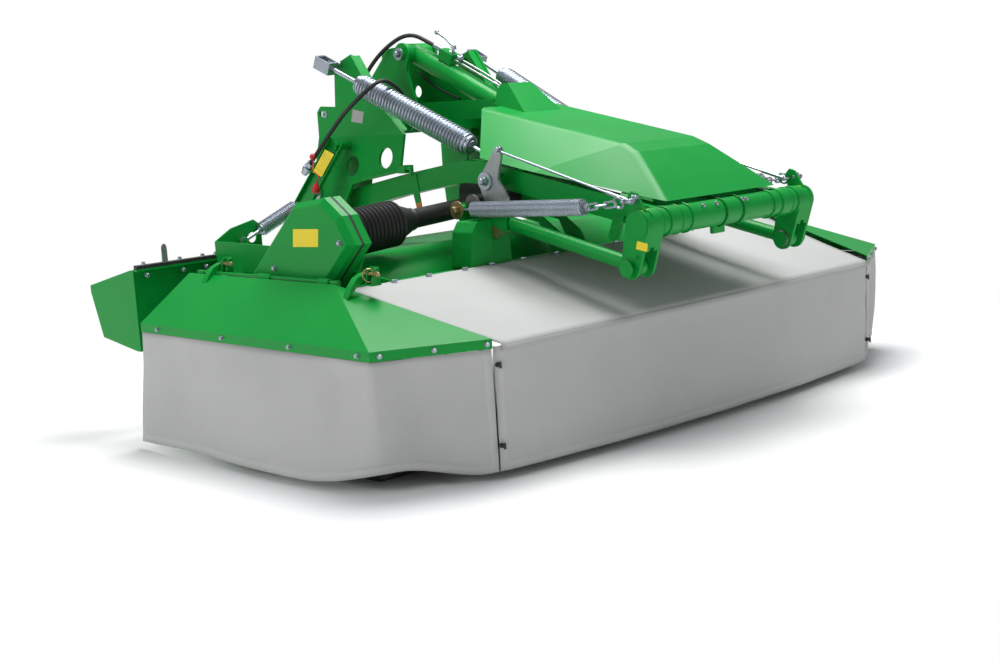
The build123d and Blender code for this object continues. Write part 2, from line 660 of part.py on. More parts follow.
frame_front = front_y + canvas + 4
frame_top = under_canvas(frame_front)
with BuildPart() as canvas_frame:
    with BuildSketch(Plane.YZ.offset(-front_x + 30)):
        Polygon((frame_front, frame_top), (frame_front + 30, frame_top), (frame_front + 30, 420),
                (frame_front, 420), align=None)
    extrude(amount=2 * (front_x - 30))
    for x in (-900, -300, 300, 900):
        add(slab(x - 15, 30, [(frame_front + 10, under_canvas(frame_front + 10) - 1),
                              (beam_low_y, 618), (beam_low_y, 590),
                              (beam_low_y - 40, 575), (frame_front + 10, 422)]))
    with Locations((0, beam_low_y - 16, under_canvas(beam_low_y - 30) - 13)):
        Box(2 * beam_x, 28, 20)
canvas_frame.part.label = "canvas_frame"
export_step(canvas_frame.part, "parts/canvas_frame.step")

# ---------------------------------------------------------------- side covers and their skirts
edge_turn = Vector(nose_x - cover_half, nose_y - cover_front, 0).normalized()
nose_run = Vector(-edge_turn.X, edge_turn.Y, 0)
cover_points = {
    "rear": (-cover_half, cover_rear, edge_z),
    "turn": (-cover_half, cover_front, edge_z),
    "nose": (-nose_x, nose_y, edge_z),
    "ridge_front": (-ridge_x, ridge_front, ridge_z),
    "ridge_rear": (-ridge_x, cover_rear, ridge_z),
}
knuckles = ((-290, -230), (60, 140), (420, 480))


def panel(names, thickness):
    """A flat sheet through named corners, with its thickness below."""
    face = Face(Wire.make_polygon([cover_points[name] for name in names], close=True))
    down = face.normal_at() if face.normal_at().Z < 0 else -face.normal_at()
    return extrude(face, amount=thickness, dir=down)


def edge_ring(thickness, grow):
    """Plan view of a strip along the outer edge, from the rear corner to the nose."""
    far = Vector(-nose_x, nose_y, 0) + nose_run * 300
    with BuildSketch() as ring:
        with BuildLine():
            Polyline((-cover_half, cover_rear + 200), (-cover_half, cover_front), (far.X, far.Y),
                     (far.X, cover_rear + 200), close=True)
        make_face()
        if grow:
            offset(amount=grow, kind=Kind.INTERSECTION)
        offset(amount=-thickness, kind=Kind.INTERSECTION, mode=Mode.SUBTRACT)
        with Locations((-(cover_half + 100 + nose_x) / 2, (cover_rear + nose_y - 100) / 2)):
            Rectangle(cover_half + 100 - nose_x, cover_rear - nose_y + 100, mode=Mode.INTERSECT)
    return ring.sketch


with BuildPart() as side_cover:
    add(panel(("rear", "turn", "ridge_front", "ridge_rear"), sheet))
    add(panel(("turn", "nose", "ridge_front"), sheet))
    add(extrude(edge_ring(sheet, 0).locate(Location((0, 0, edge_z - flange))), amount=flange))
    for low, high in knuckles:
        with Locations((-(hinge_x + ridge_x) / 2, (low + high) / 2, ridge_z - 1.5)):
            Box(ridge_x - hinge_x, high - low, 3)
        add(bar_between((-hinge_x, low, hinge_z), (-hinge_x, high, hinge_z), hinge_r))
    with Locations(Location((-hinge_x, 0, hinge_z), (90, 0, 0))):
        Cylinder(pin_r + run_gap, 2000, mode=Mode.SUBTRACT)


def skirt_level(lean, z):
    """The side skirt at one height: out from the cover's edge by lean, canvas thick."""
    back = cover_rear - 3
    corner = (-cover_half - lean + 4, cover_front - lean * 0.6)
    tip = (-nose_x - 2 + lean * 0.2, nose_y + 5 + lean * 0.2)
    inner_corner = (corner[0] + canvas, corner[1] + canvas * 0.62)
    inner_tip = (tip[0] + 1, tip[1] + canvas * 1.12)
    with BuildSketch(Plane.XY.offset(z)) as level:
        Polygon((corner[0], back), corner, tip, inner_tip, inner_corner, (corner[0] + canvas, back),
                align=None)
    return level.sketch


with BuildPart() as side_skirt:
    add(skirt_level(0, edge_z - flange - seat_gap))
    add(skirt_level(flare, hem_z))
    loft(ruled=True)

for side, turned in (("right", False), ("left", True)):
    for name, piece in (("side_cover", side_cover), ("side_skirt", side_skirt)):
        part = mirror(piece.part, about=Plane.YZ) if turned else piece.part
        part.label = f"{name}_{side}"
        export_step(part, f"parts/{name}_{side}.step")

# ---------------------------------------------------------------- swath boards at the rear
swath_x = 930.0
swath_y = 785.0
swath_low = 335.0
swath_high = 665.0
swath_bend = -1385.0
swath_pin_r = 10.0
swath_tail = 1148.0
with BuildPart() as swath_board:
    with BuildSketch(Plane.XY.offset(swath_low)):
        Polygon((-swath_x, swath_y + 13), (swath_bend, swath_y + 13), (swath_bend, swath_tail),
                (swath_bend + 4, swath_tail), (swath_bend + 4, swath_y + 17), (-swath_x, swath_y + 17),
                align=None)
    extrude(amount=swath_high - swath_low)
    with BuildSketch(Plane.YZ.offset(swath_bend - 60)):          # slanted edges of the tail
        Polygon((swath_y + 30, swath_high + 1), (1160, swath_high - 80), (1160, swath_high + 1), align=None)
        Polygon((swath_y + 35, swath_low - 1), (1080, 374), (swath_tail, 560), (1160, 560),
                (1160, swath_low - 1), align=None)
    extrude(amount=80, mode=Mode.SUBTRACT)
    with Locations(((swath_bend - swath_x) / 2, swath_y + 4, swath_high - 15)):
        Box(swath_x * -1 - swath_bend - 4, 29, 36)
    with Locations(((swath_bend - swath_x) / 2, swath_y, swath_high - 19)):
        Box(swath_x * -1 - swath_bend + 4, 28, 28, mode=Mode.SUBTRACT)
    add(bar_between((-swath_x, swath_y, swath_low + 20), (-swath_x, swath_y, swath_high), 18))
    with Locations((-swath_x, swath_y, 500)):
        Cylinder(swath_pin_r + run_gap, 600, mode=Mode.SUBTRACT)
for side, turned in (("right", False), ("left", True)):
    part = mirror(swath_board.part, about=Plane.YZ) if turned else swath_board.part
    part.label = f"swath_board_{side}"
    export_step(part, f"parts/swath_board_{side}.step")

with BuildPart() as swath_brackets:
    for z in (swath_low + 6, swath_high + 9):
        with BuildSketch(Plane.XY.offset(z)):
            Polygon((-beam_x, 645), (-beam_x + 60, 645), (-swath_x + 14, swath_y - 20),
                    (-swath_x + 14, swath_y + 7), (-swath_x - 14, swath_y + 7),
                    (-beam_x, 704), align=None)
        extrude(amount=8)
    add(bar_between((-swath_x, swath_y, swath_low), (-swath_x, swath_y, swath_high + 26), swath_pin_r))
    add(slab(-beam_x, 8, [(645, swath_low + 6), (704, swath_low + 6), (704, swath_high + 17),
                          (645, swath_high + 17)]))
    mirror(about=Plane.YZ)
swath_brackets.part.label = "swath_brackets"
export_step(swath_brackets.part, "parts/swath_brackets.step")

# ---------------------------------------------------------------- parking legs
leg_x = side_x + 34
leg_y = 450.0
leg_pivot_z = 290.0
leg_half = 25.0
with BuildPart() as parking_leg:
    with Locations((-leg_x, leg_y, (leg_pivot_z + 30 + 10) / 2)):
        Box(2 * leg_half, 2 * leg_half, leg_pivot_z + 30 - 10)
    with Locations((-leg_x, leg_y, 5)):
        Box(100, 130, 10)
    with Locations(Location((-leg_x, leg_y, leg_pivot_z), (0, 90, 0))):
        Cylinder(12 + run_gap, 200, mode=Mode.SUBTRACT)
for side, turned in (("right", False), ("left", True)):
    part = mirror(parking_leg.part, about=Plane.YZ) if turned else parking_leg.part
    part.label = f"parking_leg_{side}"
    export_step(part, f"parts/parking_leg_{side}.step")

with BuildPart() as leg_pins:
    add(along_x(leg_y, leg_pivot_z, 12, -leg_x - leg_half - 12, -side_x))
    mirror(about=Plane.YZ)
leg_pins.part.label = "leg_pins"
export_step(leg_pins.part, "parts/leg_pins.step")

# ---------------------------------------------------------------- lateral dampers
damper_y = 705.0
damper_hole = (-925.0, 735.0)            # (X, Z)
damper_pin_r = 9.0
with BuildPart() as damper_brackets:
    with BuildSketch(Plane.XZ.offset(-damper_y)):
        Polygon((-side_x, 685), (-side_x, 745), (-965, 790), (-850, 815), (-815, 790), (-815, 700),
                (-870, 685), align=None)
        with Locations((-862, 742)):
            Circle(22, mode=Mode.SUBTRACT)
    extrude(amount=-8)
    add(bar_between((damper_hole[0], damper_y - 40, damper_hole[1]),
                    (damper_hole[0], damper_y, damper_hole[1]), damper_pin_r))
    mirror(about=Plane.YZ)
damper_brackets.part.label = "damper_brackets"
export_step(damper_brackets.part, "parts/damper_brackets.step")

damper_line_y = damper_y - 30
damper_low = (-835.0, damper_line_y, 773.0)
damper_high = (-652.0, damper_line_y, 848.0)
with BuildPart() as damper_springs:
    add(bar_between(damper_low, damper_high, 30))
    add(bar_between((damper_hole[0] + 14, damper_line_y, damper_hole[1] + 6), damper_low, 8))
    with Locations(Location((damper_hole[0], damper_line_y, damper_hole[1]), (90, 0, 0))):
        Cylinder(18, 12)
        Cylinder(damper_pin_r + seat_gap, 30, mode=Mode.SUBTRACT)
    mirror(about=Plane.YZ)
damper_springs.part.label = "damper_springs"
export_step(damper_springs.part, "parts/damper_springs.step")

# ---------------------------------------------------------------- headstock
side_profile = [(-head_x, 1475), (-head_x, fold_z), (-foot_x, foot_z), (-foot_x, 745),
                (-foot_x - plate, 745), (-foot_x - plate, foot_z - 3), (-head_x - plate, fold_z + 3),
                (-head_x - plate, 1475)]
side_view = [(690, 1432), (575, 1472), (445, 1290), (264, 1128), (260, 985), (560, 925), (640, 760),
             (740, 760), (760, 850), (835, 850), (835, 1235), (810, 1260), (705, 1255)]
hitch_y = 792.0
hitch_z = 885.0
hitch_r = 14.2
with BuildPart() as headstock:
    with BuildSketch(Plane.XZ):
        Polygon(*side_profile, align=None)
    extrude(amount=-1000)
    with BuildSketch(Plane.YZ.offset(-500)):
        Polygon(*side_view, align=None)
        for y, z, radius in ((578, 1000, 43), (362, 1032, 43), (806, 1227, 14)):
            with Locations((y, z)):
                Circle(radius, mode=Mode.SUBTRACT)
    extrude(amount=500, mode=Mode.INTERSECT)
    with BuildSketch(Plane.YZ.offset(-head_x)):       # web of the post
        Polygon((688, 1430), (577, 1467), (445, 1285), (300, 1146), (330, 1136), (460, 1268), (590, 1442),
                (684, 1412), align=None)
    extrude(amount=42)
    add(slab(-beam_in + part_gap, plate, [(560, 1240), (560, 1120), (630, 760), (745, 760), (760, 900),
                                          (760, 1240)]))
    add(along_x(pivot_y, pivot_z, pivot_r, -foot_x - plate - 10, -beam_in + part_gap + plate))
    mirror(about=Plane.YZ)
    with Locations((0, 640, 1180)):                   # cross box
        Box(2 * head_x, 160, 120)
    for x in (-38, 26):                               # ears for the upper link
        with BuildSketch(Plane.YZ.offset(x)):
            Polygon((620, 1239), (715, 1239), (762, 1400), (764, 1472), (742, 1490), (704, 1482), align=None)
            with Locations((733, 1453)):
                Circle(12.9, mode=Mode.SUBTRACT)
        extrude(amount=plate)
headstock.part.label = "headstock"
export_step(headstock.part, "parts/headstock.step")

arm_top = Vector(-462, 618, 1090)
arm_foot = Vector(-592, 703, 850)
with BuildPart() as damper_arms:
    with BuildSketch(Plane(origin=arm_top + (arm_top - arm_foot).normalized() * 25, x_dir=(1, 0, 0.5),
                           z_dir=arm_foot - arm_top)):
        Rectangle(24, 74)
        with Locations((-4, 0)):
            Rectangle(24, 66, mode=Mode.SUBTRACT)
    extrude(amount=(arm_foot - arm_top).length + 50)
    add(along_x(arm_top.Y, arm_top.Z, 18, arm_top.X - 4, -head_x))
    add(headstock.part, mode=Mode.SUBTRACT)
    mirror(about=Plane.YZ)
damper_arms.part.label = "damper_arms"
export_step(damper_arms.part, "parts/damper_arms.step")

with BuildPart() as hitch_pins:
    add(along_x(hitch_y, hitch_z, hitch_r, -foot_x - plate - 75, -foot_x - plate))
    add(along_x(hitch_y, hitch_z, 30, -foot_x - plate - 8, -foot_x - plate))
    mirror(about=Plane.YZ)
hitch_pins.part.label = "hitch_pins"
export_step(hitch_pins.part, "parts/hitch_pins.step")

with BuildPart() as cylinder_cheeks:
    with BuildSketch(Plane.YZ.offset(-cheek_x - plate)):
        Polygon((720, 1240), (788, 1300), (796, 1368), (664, 1492), (615, 1496),
                (cylinder_y - 44, cylinder_z), (552, 1390), (500, 1250), (10, 1250), (10, 1172),
                (480, 1172), (560, 1130), (560, 1240), align=None)
        with Locations((cylinder_y, cylinder_z)):
            Circle(48)
    extrude(amount=plate)
    mirror(about=Plane.YZ)
    add(slab(cheek_x, plate, [(505, 1249), (100, 1249), (140, 1268), (540, 1450), (560, 1400)]))
    add(along_x(661, 1298, 27, cheek_x - 1, cheek_x + plate + 1), mode=Mode.SUBTRACT)
    add(along_x(cylinder_y, cylinder_z, pivot_r, -cheek_x - plate - 14, cheek_x + plate + 14))
    with Locations((0, 395, 1238)):
        Box(2 * cheek_x, 60, 12)
cylinder_cheeks.part.label = "cylinder_cheeks"
export_step(cylinder_cheeks.part, "parts/cylinder_cheeks.step")

# ---------------------------------------------------------------- relief springs and their tensioners
relief_top = Vector(-423, 475, 1350)
relief_low = Vector(-352, -128, 1070)
relief_line = (relief_low - relief_top).normalized()
relief_r = 49.0
relief_hook = Vector(-346, -168, 1050)
with BuildPart() as relief_springs:
    add(bar_between(tuple(relief_top), tuple(relief_low), relief_r))
    add(bar_between(tuple(relief_low), tuple(relief_hook), 7))
    mirror(about=Plane.YZ)
relief_springs.part.label = "relief_springs"
export_step(relief_springs.part, "parts/relief_springs.step")

tension_from = relief_top - relief_line * seat_gap
tension_block = relief_top - relief_line * 155
tension_end = relief_top - relief_line * 235
with BuildPart() as spring_tensioners:
    add(bar_between(tuple(tension_from), tuple(tension_end - relief_line * 20), 9))
    for start, length in ((tension_block, 10), (tension_end, 10)):
        with BuildSketch(Plane(origin=start, x_dir=(1, 0, 0), z_dir=-relief_line)):
            Rectangle(54, 54)
        extrude(amount=length)
    for side in (-24, 24):
        with BuildSketch(Plane(origin=tension_block, x_dir=(1, 0, 0), z_dir=-relief_line)):
            with Locations((side, 0)):
                Rectangle(6, 54)
        extrude(amount=(tension_end - tension_block).length)
    middle = (tension_block + tension_end) / 2
    add(along_x(middle.Y, middle.Z, 14, middle.X + 24, -head_x - plate))
    mirror(about=Plane.YZ)
spring_tensioners.part.label = "spring_tensioners"
export_step(spring_tensioners.part, "parts/spring_tensioners.step")

# ---------------------------------------------------------------- cylinder between headstock and cross tube
cylinder_pin = Vector(0, cylinder_y, cylinder_z)
cylinder_run = Vector(0, eye_y - cylinder_y, eye_z - cylinder_z)
cylinder_line = cylinder_run.normalized()
cylinder_up = Vector(0, cylinder_line.Z, -cylinder_line.Y)
piston_at = 600.0
piston_length = 50.0
gland_length = 32.0


def on_cylinder(along, rise=0.0, x=0.0):
    """A point at a distance along the cylinder from its pin and a height above its axis."""
    return tuple(cylinder_pin + cylinder_line * along + cylinder_up * rise + Vector(x, 0, 0))


with BuildPart() as cylinder_barrel:
    add(bar_between(on_cylinder(0), on_cylinder(barrel_length), barrel_r))
    add(bar_between(on_cylinder(50), on_cylinder(barrel_length + 1), barrel_bore), mode=Mode.SUBTRACT)
    add(bar_between(on_cylinder(barrel_length - 20), on_cylinder(barrel_length + gland_length - 20),
                    barrel_r + 3, rod_r + run_gap))
    add(along_x(cylinder_y, cylinder_z, 44, -cheek_x + part_gap, cheek_x - part_gap))
    add(along_x(cylinder_y, cylinder_z, pivot_r + run_gap, -cheek_x, cheek_x), mode=Mode.SUBTRACT)
cylinder_barrel.part.label = "cylinder_barrel"
export_step(cylinder_barrel.part, "parts/cylinder_barrel.step")

eye_half = 21.0
eye_bore = 25.0
with BuildPart() as cylinder_rod:
    add(bar_between(on_cylinder(piston_at), on_cylinder(piston_at + piston_length), barrel_bore - run_gap))
    add(bar_between(on_cylinder(piston_at + piston_length), on_cylinder(cylinder_run.length), rod_r))
    add(along_x(eye_y, eye_z, 40, -eye_half, eye_half))
    add(along_x(eye_y, eye_z, eye_bore, -eye_half - 1, eye_half + 1), mode=Mode.SUBTRACT)
cylinder_rod.part.label = "cylinder_rod"
export_step(cylinder_rod.part, "parts/cylinder_rod.step")

valve_at = 205.0
valve_length = 80.0
pipe_rise = barrel_r + 22
hose_rise = barrel_r + 33
pipe_r = 5.0
with BuildPart() as ball_valve:
    with BuildSketch(Plane(origin=on_cylinder(valve_at - valve_length / 2, pipe_rise), x_dir=(1, 0, 0),
                           z_dir=cylinder_line)):
        Rectangle(52, 46)
    extrude(amount=valve_length)
    add(cylinder_barrel.part, mode=Mode.SUBTRACT)
ball_valve.part.label = "ball_valve"
export_step(ball_valve.part, "parts/ball_valve.step")

pipe_from = valve_at + valve_length / 2 + seat_gap
pipe_to = 552.0
with BuildPart() as pressure_pipe:
    add(bar_between(on_cylinder(pipe_from, pipe_rise), on_cylinder(pipe_to, pipe_rise), pipe_r))
    add(bar_between(on_cylinder(pipe_to, barrel_r - 1), on_cylinder(pipe_to, pipe_rise + 8), 12))
    add(cylinder_barrel.part, mode=Mode.SUBTRACT)
pressure_pipe.part.label = "pressure_pipe"
export_step(pressure_pipe.part, "parts/pressure_pipe.step")

# ---------------------------------------------------------------- hydraulic hose
hose_r = 9.0
hose_points = [on_cylinder(valve_at - valve_length / 2 - seat_gap, hose_rise), on_cylinder(95, hose_rise),
               (-30, 575, 1560), (-105, 660, 1498), (-160, 735, 1395), (-215, 715, 1310),
               (-262, 602, 1264), (-274, 469, 1246), (-267, 360, 1280), (-356, 315, 1330),
               (-484, 253, 1364), (-579, 301, 1282), (-512, 516, 1201), (-494, 747, 1024)]


def cord(points, radius):
    """A round cord through points: straight runs with an arc at every bend."""
    nodes = [Vector(*point) for point in points]
    radii = []
    for before, here, after in zip(nodes, nodes[1:], nodes[2:]):
        turn = radians((here - before).get_angle(after - here))
        radii.append(0.45 * min((here - before).length, (after - here).length) / tan(turn / 2))
    with BuildPart() as piece:
        with BuildLine() as path:
            FilletPolyline(*nodes, radius=radii)
        with BuildSketch(Plane(origin=nodes[0], z_dir=nodes[1] - nodes[0])):
            Circle(radius)
        sweep(path=path.wires()[0])
    return piece.part


hydraulic_hose = cord(hose_points, hose_r)
hydraulic_hose.label = "hydraulic_hose"
export_step(hydraulic_hose, "parts/hydraulic_hose.step")

hose_end = Vector(*hose_points[-1])
hose_way = (hose_end - Vector(*hose_points[-2])).normalized()
with BuildPart() as hose_coupler:
    add(bar_between(tuple(hose_end + hose_way * seat_gap), tuple(hose_end + hose_way * 75), 15))
    with BuildSketch(Plane(origin=hose_end + hose_way * 30, z_dir=hose_way)):
        Circle(20)
    extrude(amount=24)
    clip = hose_end + hose_way * 12
    add(along_x(clip.Y, clip.Z, 8, clip.X, -head_x - plate))
    add(headstock.part, mode=Mode.SUBTRACT)
hose_coupler.part.label = "hose_coupler"
export_step(hose_coupler.part, "parts/hose_coupler.step")
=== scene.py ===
"""Looks of a front-mounted disc mower conditioner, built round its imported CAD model."""

from math import cos, pi, radians, sin

import bmesh
import bpy
from mathutils import Matrix, Vector, noise


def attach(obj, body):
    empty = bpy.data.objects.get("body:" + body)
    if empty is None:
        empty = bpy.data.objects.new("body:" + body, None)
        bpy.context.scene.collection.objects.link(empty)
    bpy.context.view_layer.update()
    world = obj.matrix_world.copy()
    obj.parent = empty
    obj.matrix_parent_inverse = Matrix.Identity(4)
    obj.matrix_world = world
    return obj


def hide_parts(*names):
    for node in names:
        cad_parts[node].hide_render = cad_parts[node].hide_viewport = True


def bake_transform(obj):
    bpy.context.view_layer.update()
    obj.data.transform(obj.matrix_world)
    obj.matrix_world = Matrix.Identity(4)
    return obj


bl_info = {
    "name": "Disc mower conditioner",
    "version": (1, 0, 0),
    "blender": (4, 5, 0),
    "location": "3D View > Sidebar > Mower",
    "description": "Finishes and details of a front disc mower conditioner",
    "category": "Object",
}

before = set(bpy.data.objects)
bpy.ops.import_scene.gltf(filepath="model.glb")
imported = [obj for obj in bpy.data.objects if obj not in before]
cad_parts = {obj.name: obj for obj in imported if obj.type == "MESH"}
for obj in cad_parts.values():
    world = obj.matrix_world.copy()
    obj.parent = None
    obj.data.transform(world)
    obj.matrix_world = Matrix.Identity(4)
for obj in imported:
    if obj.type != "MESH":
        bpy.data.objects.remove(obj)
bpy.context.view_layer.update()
MM = 0.001
MERGE = 1e-6                             # closer vertices of a piece are one, in metres
COIL_END = 0.06                          # share of a tapered spring over which its ends narrow
OUT = (-1, 0, 0)                         # outwards on the right side
SIDES = (("right", -1), ("left", 1))     # the right side lies at -X


# ---------------------------------------------------------------- colours and materials
def linear(code):
    """The linear colour, with alpha, of an sRGB hex value."""
    channels = [int(code[i:i + 2], 16) / 255 for i in (1, 3, 5)]
    return [c / 12.92 if c <= 0.04045 else ((c + 0.055) / 1.055) ** 2.4 for c in channels] + [1.0]


def add(tree, kind, links=None, **values):
    """A node with its settings; a value named in_X sets an input, and links feeds inputs from outputs."""
    node = tree.nodes.new("ShaderNode" + kind)
    for name, value in values.items():
        if name == "ramp":
            stops = node.color_ramp.elements
            while len(stops) < len(value):
                stops.new(0.5)
            for stop, (place, colour) in zip(stops, value):
                stop.position = place
                stop.color = colour
        elif name.startswith("in_"):
            key = name[3:]
            node.inputs[int(key) if key.isdigit() else key.replace("_", " ")].default_value = value
        else:
            setattr(node, name, value)
    for key, output in (links or {}).items():
        tree.links.new(output, node.inputs[key])
    return node


def shade(colour, factor):
    """A colour made lighter or darker."""
    return [min(1.0, c * factor) for c in colour[:3]] + [1.0]


def material(name, code, roughness, metallic=0.0, mottle=0.06, mottle_mm=90.0, grain_mm=1.2,
             grain=0.02, rough_spread=0.06, specular=0.5, detail=4.0):
    """A surface whose colour and gloss drift slowly, with a fine grain in its bump."""
    made = bpy.data.materials.new(name)
    made.use_nodes = True
    tree = made.node_tree
    shader = tree.nodes["Principled BSDF"]
    base = linear(code)
    place = add(tree, "TexCoord")
    broad = add(tree, "TexNoise", {"Vector": place.outputs["Object"]}, in_Scale=1000 / mottle_mm,
                in_Detail=detail, in_Roughness=0.55)
    tone = add(tree, "ValToRGB", {"Fac": broad.outputs["Fac"]},
               ramp=((0.3, shade(base, 1 - mottle)), (0.7, shade(base, 1 + mottle))))
    tree.links.new(tone.outputs["Color"], shader.inputs["Base Color"])
    gloss = add(tree, "MapRange", {"Value": broad.outputs["Fac"]}, in_From_Min=0.3, in_From_Max=0.7,
                in_To_Min=roughness - rough_spread, in_To_Max=roughness + rough_spread)
    tree.links.new(gloss.outputs["Result"], shader.inputs["Roughness"])
    fine = add(tree, "TexNoise", {"Vector": place.outputs["Object"]}, in_Scale=1000 / grain_mm, in_Detail=2.0)
    bump = add(tree, "Bump", {"Height": fine.outputs["Fac"]}, in_Strength=grain, in_Distance=0.001)
    tree.links.new(bump.outputs["Normal"], shader.inputs["Normal"])
    shader.inputs["Metallic"].default_value = metallic
    shader.inputs["Specular IOR Level"].default_value = specular
    return made


def canvas_material(name, code):
    """PVC-coated polyester canvas: matt, with the thread's weave pressed faintly through the coating."""
    made = material(name, code, 0.72, mottle=0.05, mottle_mm=420.0, grain_mm=3.0, grain=0.05, detail=6.0)
    tree = made.node_tree
    shader = tree.nodes["Principled BSDF"]
    place = next(node for node in tree.nodes if node.type == "TEX_COORD")
    threads = []
    for direction in ("X", "Y"):
        # threads are 1 mm apart on the real cloth and drawn 4 mm apart so that they show
        wave = add(tree, "TexWave", {"Vector": place.outputs["UV"]}, bands_direction=direction,
                   in_Scale=39.0, in_Distortion=0.4)
        threads.append(wave.outputs["Fac"])
    weave = add(tree, "Math", {0: threads[0], 1: threads[1]}, operation="MULTIPLY")
    bump = add(tree, "Bump", {"Height": weave.outputs["Value"],
                              "Normal": shader.inputs["Normal"].links[0].from_socket},
               in_Strength=0.12, in_Distance=0.001)
    tree.links.new(bump.outputs["Normal"], shader.inputs["Normal"])
    return made


MATERIALS = {}


def make_materials(colours):
    """Every finish of the machine, by the name that its pieces use."""
    MATERIALS.update(
        # powder coat: smooth, glossy enamel-like paint on steel, with a slight orange peel
        green=material("green powder coated steel", colours.green, 0.34, mottle=0.04, mottle_mm=180.0,
                       grain_mm=2.5, grain=0.012, specular=0.22),
        # the same paint over a rough casting, which scatters the light more
        casting=material("green painted cast iron", colours.green, 0.5, mottle=0.1, mottle_mm=40.0,
                         grain_mm=3.5, grain=0.2, specular=0.22),
        dark=material("black painted steel", "#2B2D2B", 0.45, mottle=0.12, grain=0.1),
        canvas=canvas_material("PVC-coated canvas", colours.canvas),
        hem=canvas_material("PVC-coated canvas, hem", colours.hem),
        # bright zinc: bluish white metal with a soft, spangled gloss
        zinc=material("bright zinc plated steel", "#A9B1BB", 0.32, metallic=0.9, mottle=0.03, mottle_mm=60.0,
                      grain_mm=2.0, grain=0.01, rough_spread=0.04),
        # yellow passivated zinc on bolts and washers
        yellow_zinc=material("yellow passivated zinc", "#A49668", 0.38, metallic=0.85, mottle=0.16,
                             mottle_mm=9.0, grain=0.05),
        galvanised=material("galvanised steel plate", "#9EA3A3", 0.42, metallic=0.75, mottle=0.12,
                            mottle_mm=25.0, grain=0.08),
        blade=material("hardened steel", "#7C7A76", 0.4, metallic=0.9, mottle=0.15, mottle_mm=30.0,
                       grain=0.12),
        chrome=material("hard chromed steel", "#DADCDE", 0.1, metallic=1.0, mottle=0.02, grain=0.0),
        rubber=material("black rubber", "#1B1A1B", 0.62, mottle=0.15, mottle_mm=30.0, grain_mm=1.0,
                        grain=0.12),
        plastic=material("black moulded polyethylene", "#1E1C1D", 0.5, mottle=0.1, grain_mm=1.5, grain=0.08),
        red=material("red moulded PVC", "#C21F26", 0.38, mottle=0.05, grain=0.03),
        label=material("yellow vinyl film", "#F0D51C", 0.42, mottle=0.02, grain=0.0),
        plate=material("anodised aluminium", "#A9AAA6", 0.4, metallic=0.6, mottle=0.03, grain=0.03),
        amber=material("orange moulded polyethylene", "#D8701E", 0.45, mottle=0.05, grain=0.03),
    )


# ---------------------------------------------------------------- modelling helpers
def v(*point):
    """A point given in millimetres."""
    return Vector(point) * MM


def route(*points):
    """A list of points given in millimetres."""
    return [v(*point) for point in points]


def facing(place, direction, turn=0.0):
    """Stands an upright shape at a place so that its Z runs along a direction."""
    spin = Vector(direction).normalized().to_track_quat("Z", "Y").to_matrix().to_4x4()
    return Matrix.Translation(place) @ spin @ Matrix.Rotation(turn, 4, "Z")


def finish(bm, name, finishes, body=None, slot=None, bevel=0.0, smooth=35):
    """Turns a bmesh into a piece of the machine that rides on a body."""
    bmesh.ops.remove_doubles(bm, verts=bm.verts, dist=MERGE)
    bmesh.ops.recalc_face_normals(bm, faces=bm.faces)
    mesh = bpy.data.meshes.new(name)
    bm.to_mesh(mesh)
    bm.free()
    piece = bpy.data.objects.new(name, mesh)
    bpy.context.scene.collection.objects.link(piece)
    for finish_name in ([finishes] if isinstance(finishes, str) else finishes):
        mesh.materials.append(MATERIALS[finish_name])
    if bevel:
        rounded = piece.modifiers.new("bevel", "BEVEL")
        rounded.width = bevel * MM
        rounded.segments = 2
        rounded.limit_method = "ANGLE"
        rounded.angle_limit = radians(40)
    mesh.shade_smooth()
    mesh.set_sharp_from_angle(angle=radians(smooth))
    if body:
        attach(piece, body)
    return piece


def place(bm, verts, matrix, index=0):
    """Moves vertices into their place; index is the finish of their faces."""
    bmesh.ops.transform(bm, matrix=matrix, verts=verts)
    if index:
        for face in {face for vert in verts for face in vert.link_faces}:
            face.material_index = index
    return verts


def rod(bm, start, end, radius, segments=16):
    """A round bar between two points."""
    run = end - start
    made = bmesh.ops.create_cone(bm, cap_ends=True, segments=segments, radius1=radius, radius2=radius,
                                 depth=run.length)
    return place(bm, made["verts"], facing(start + run / 2, run))


def block(bm, low, high):
    """A block between two corners."""
    made = bmesh.ops.create_cube(bm, size=1)
    size = high - low
    matrix = Matrix.Translation((low + high) / 2)
    return place(bm, made["verts"], matrix @ Matrix.Diagonal((abs(size.x), abs(size.y), abs(size.z), 1)))


def prism(bm, outline, thickness, matrix, index=0):
    """A flat outline in X and Y, pushed up along Z by a thickness, then placed."""
    verts = [bm.verts.new((x, y, 0)) for x, y in outline]
    face = bm.faces.new(verts)
    up = bmesh.ops.extrude_face_region(bm, geom=[face])
    raised = [item for item in up["geom"] if isinstance(item, bmesh.types.BMVert)]
    bmesh.ops.translate(bm, verts=raised, vec=(0, 0, thickness))
    return place(bm, verts + raised, matrix, index)


def side_plate(bm, x, outline, thickness, index=0):
    """A flat outline in Y and Z, in millimetres, standing on the plane at x and pushed along X."""
    matrix = Matrix(((0, 0, 1, x * MM), (1, 0, 0, 0), (0, 1, 0, 0), (0, 0, 0, 1)))
    return prism(bm, [(y * MM, z * MM) for y, z in outline], thickness * MM, matrix, index)


def cross_plate(bm, y, outline, thickness):
    """A flat outline in X and Z, in millimetres, standing on the plane at y and pushed along -Y."""
    matrix = Matrix(((1, 0, 0, 0), (0, 0, -1, y * MM), (0, 1, 0, 0), (0, 0, 0, 1)))
    return prism(bm, [(x * MM, z * MM) for x, z in outline], thickness * MM, matrix)


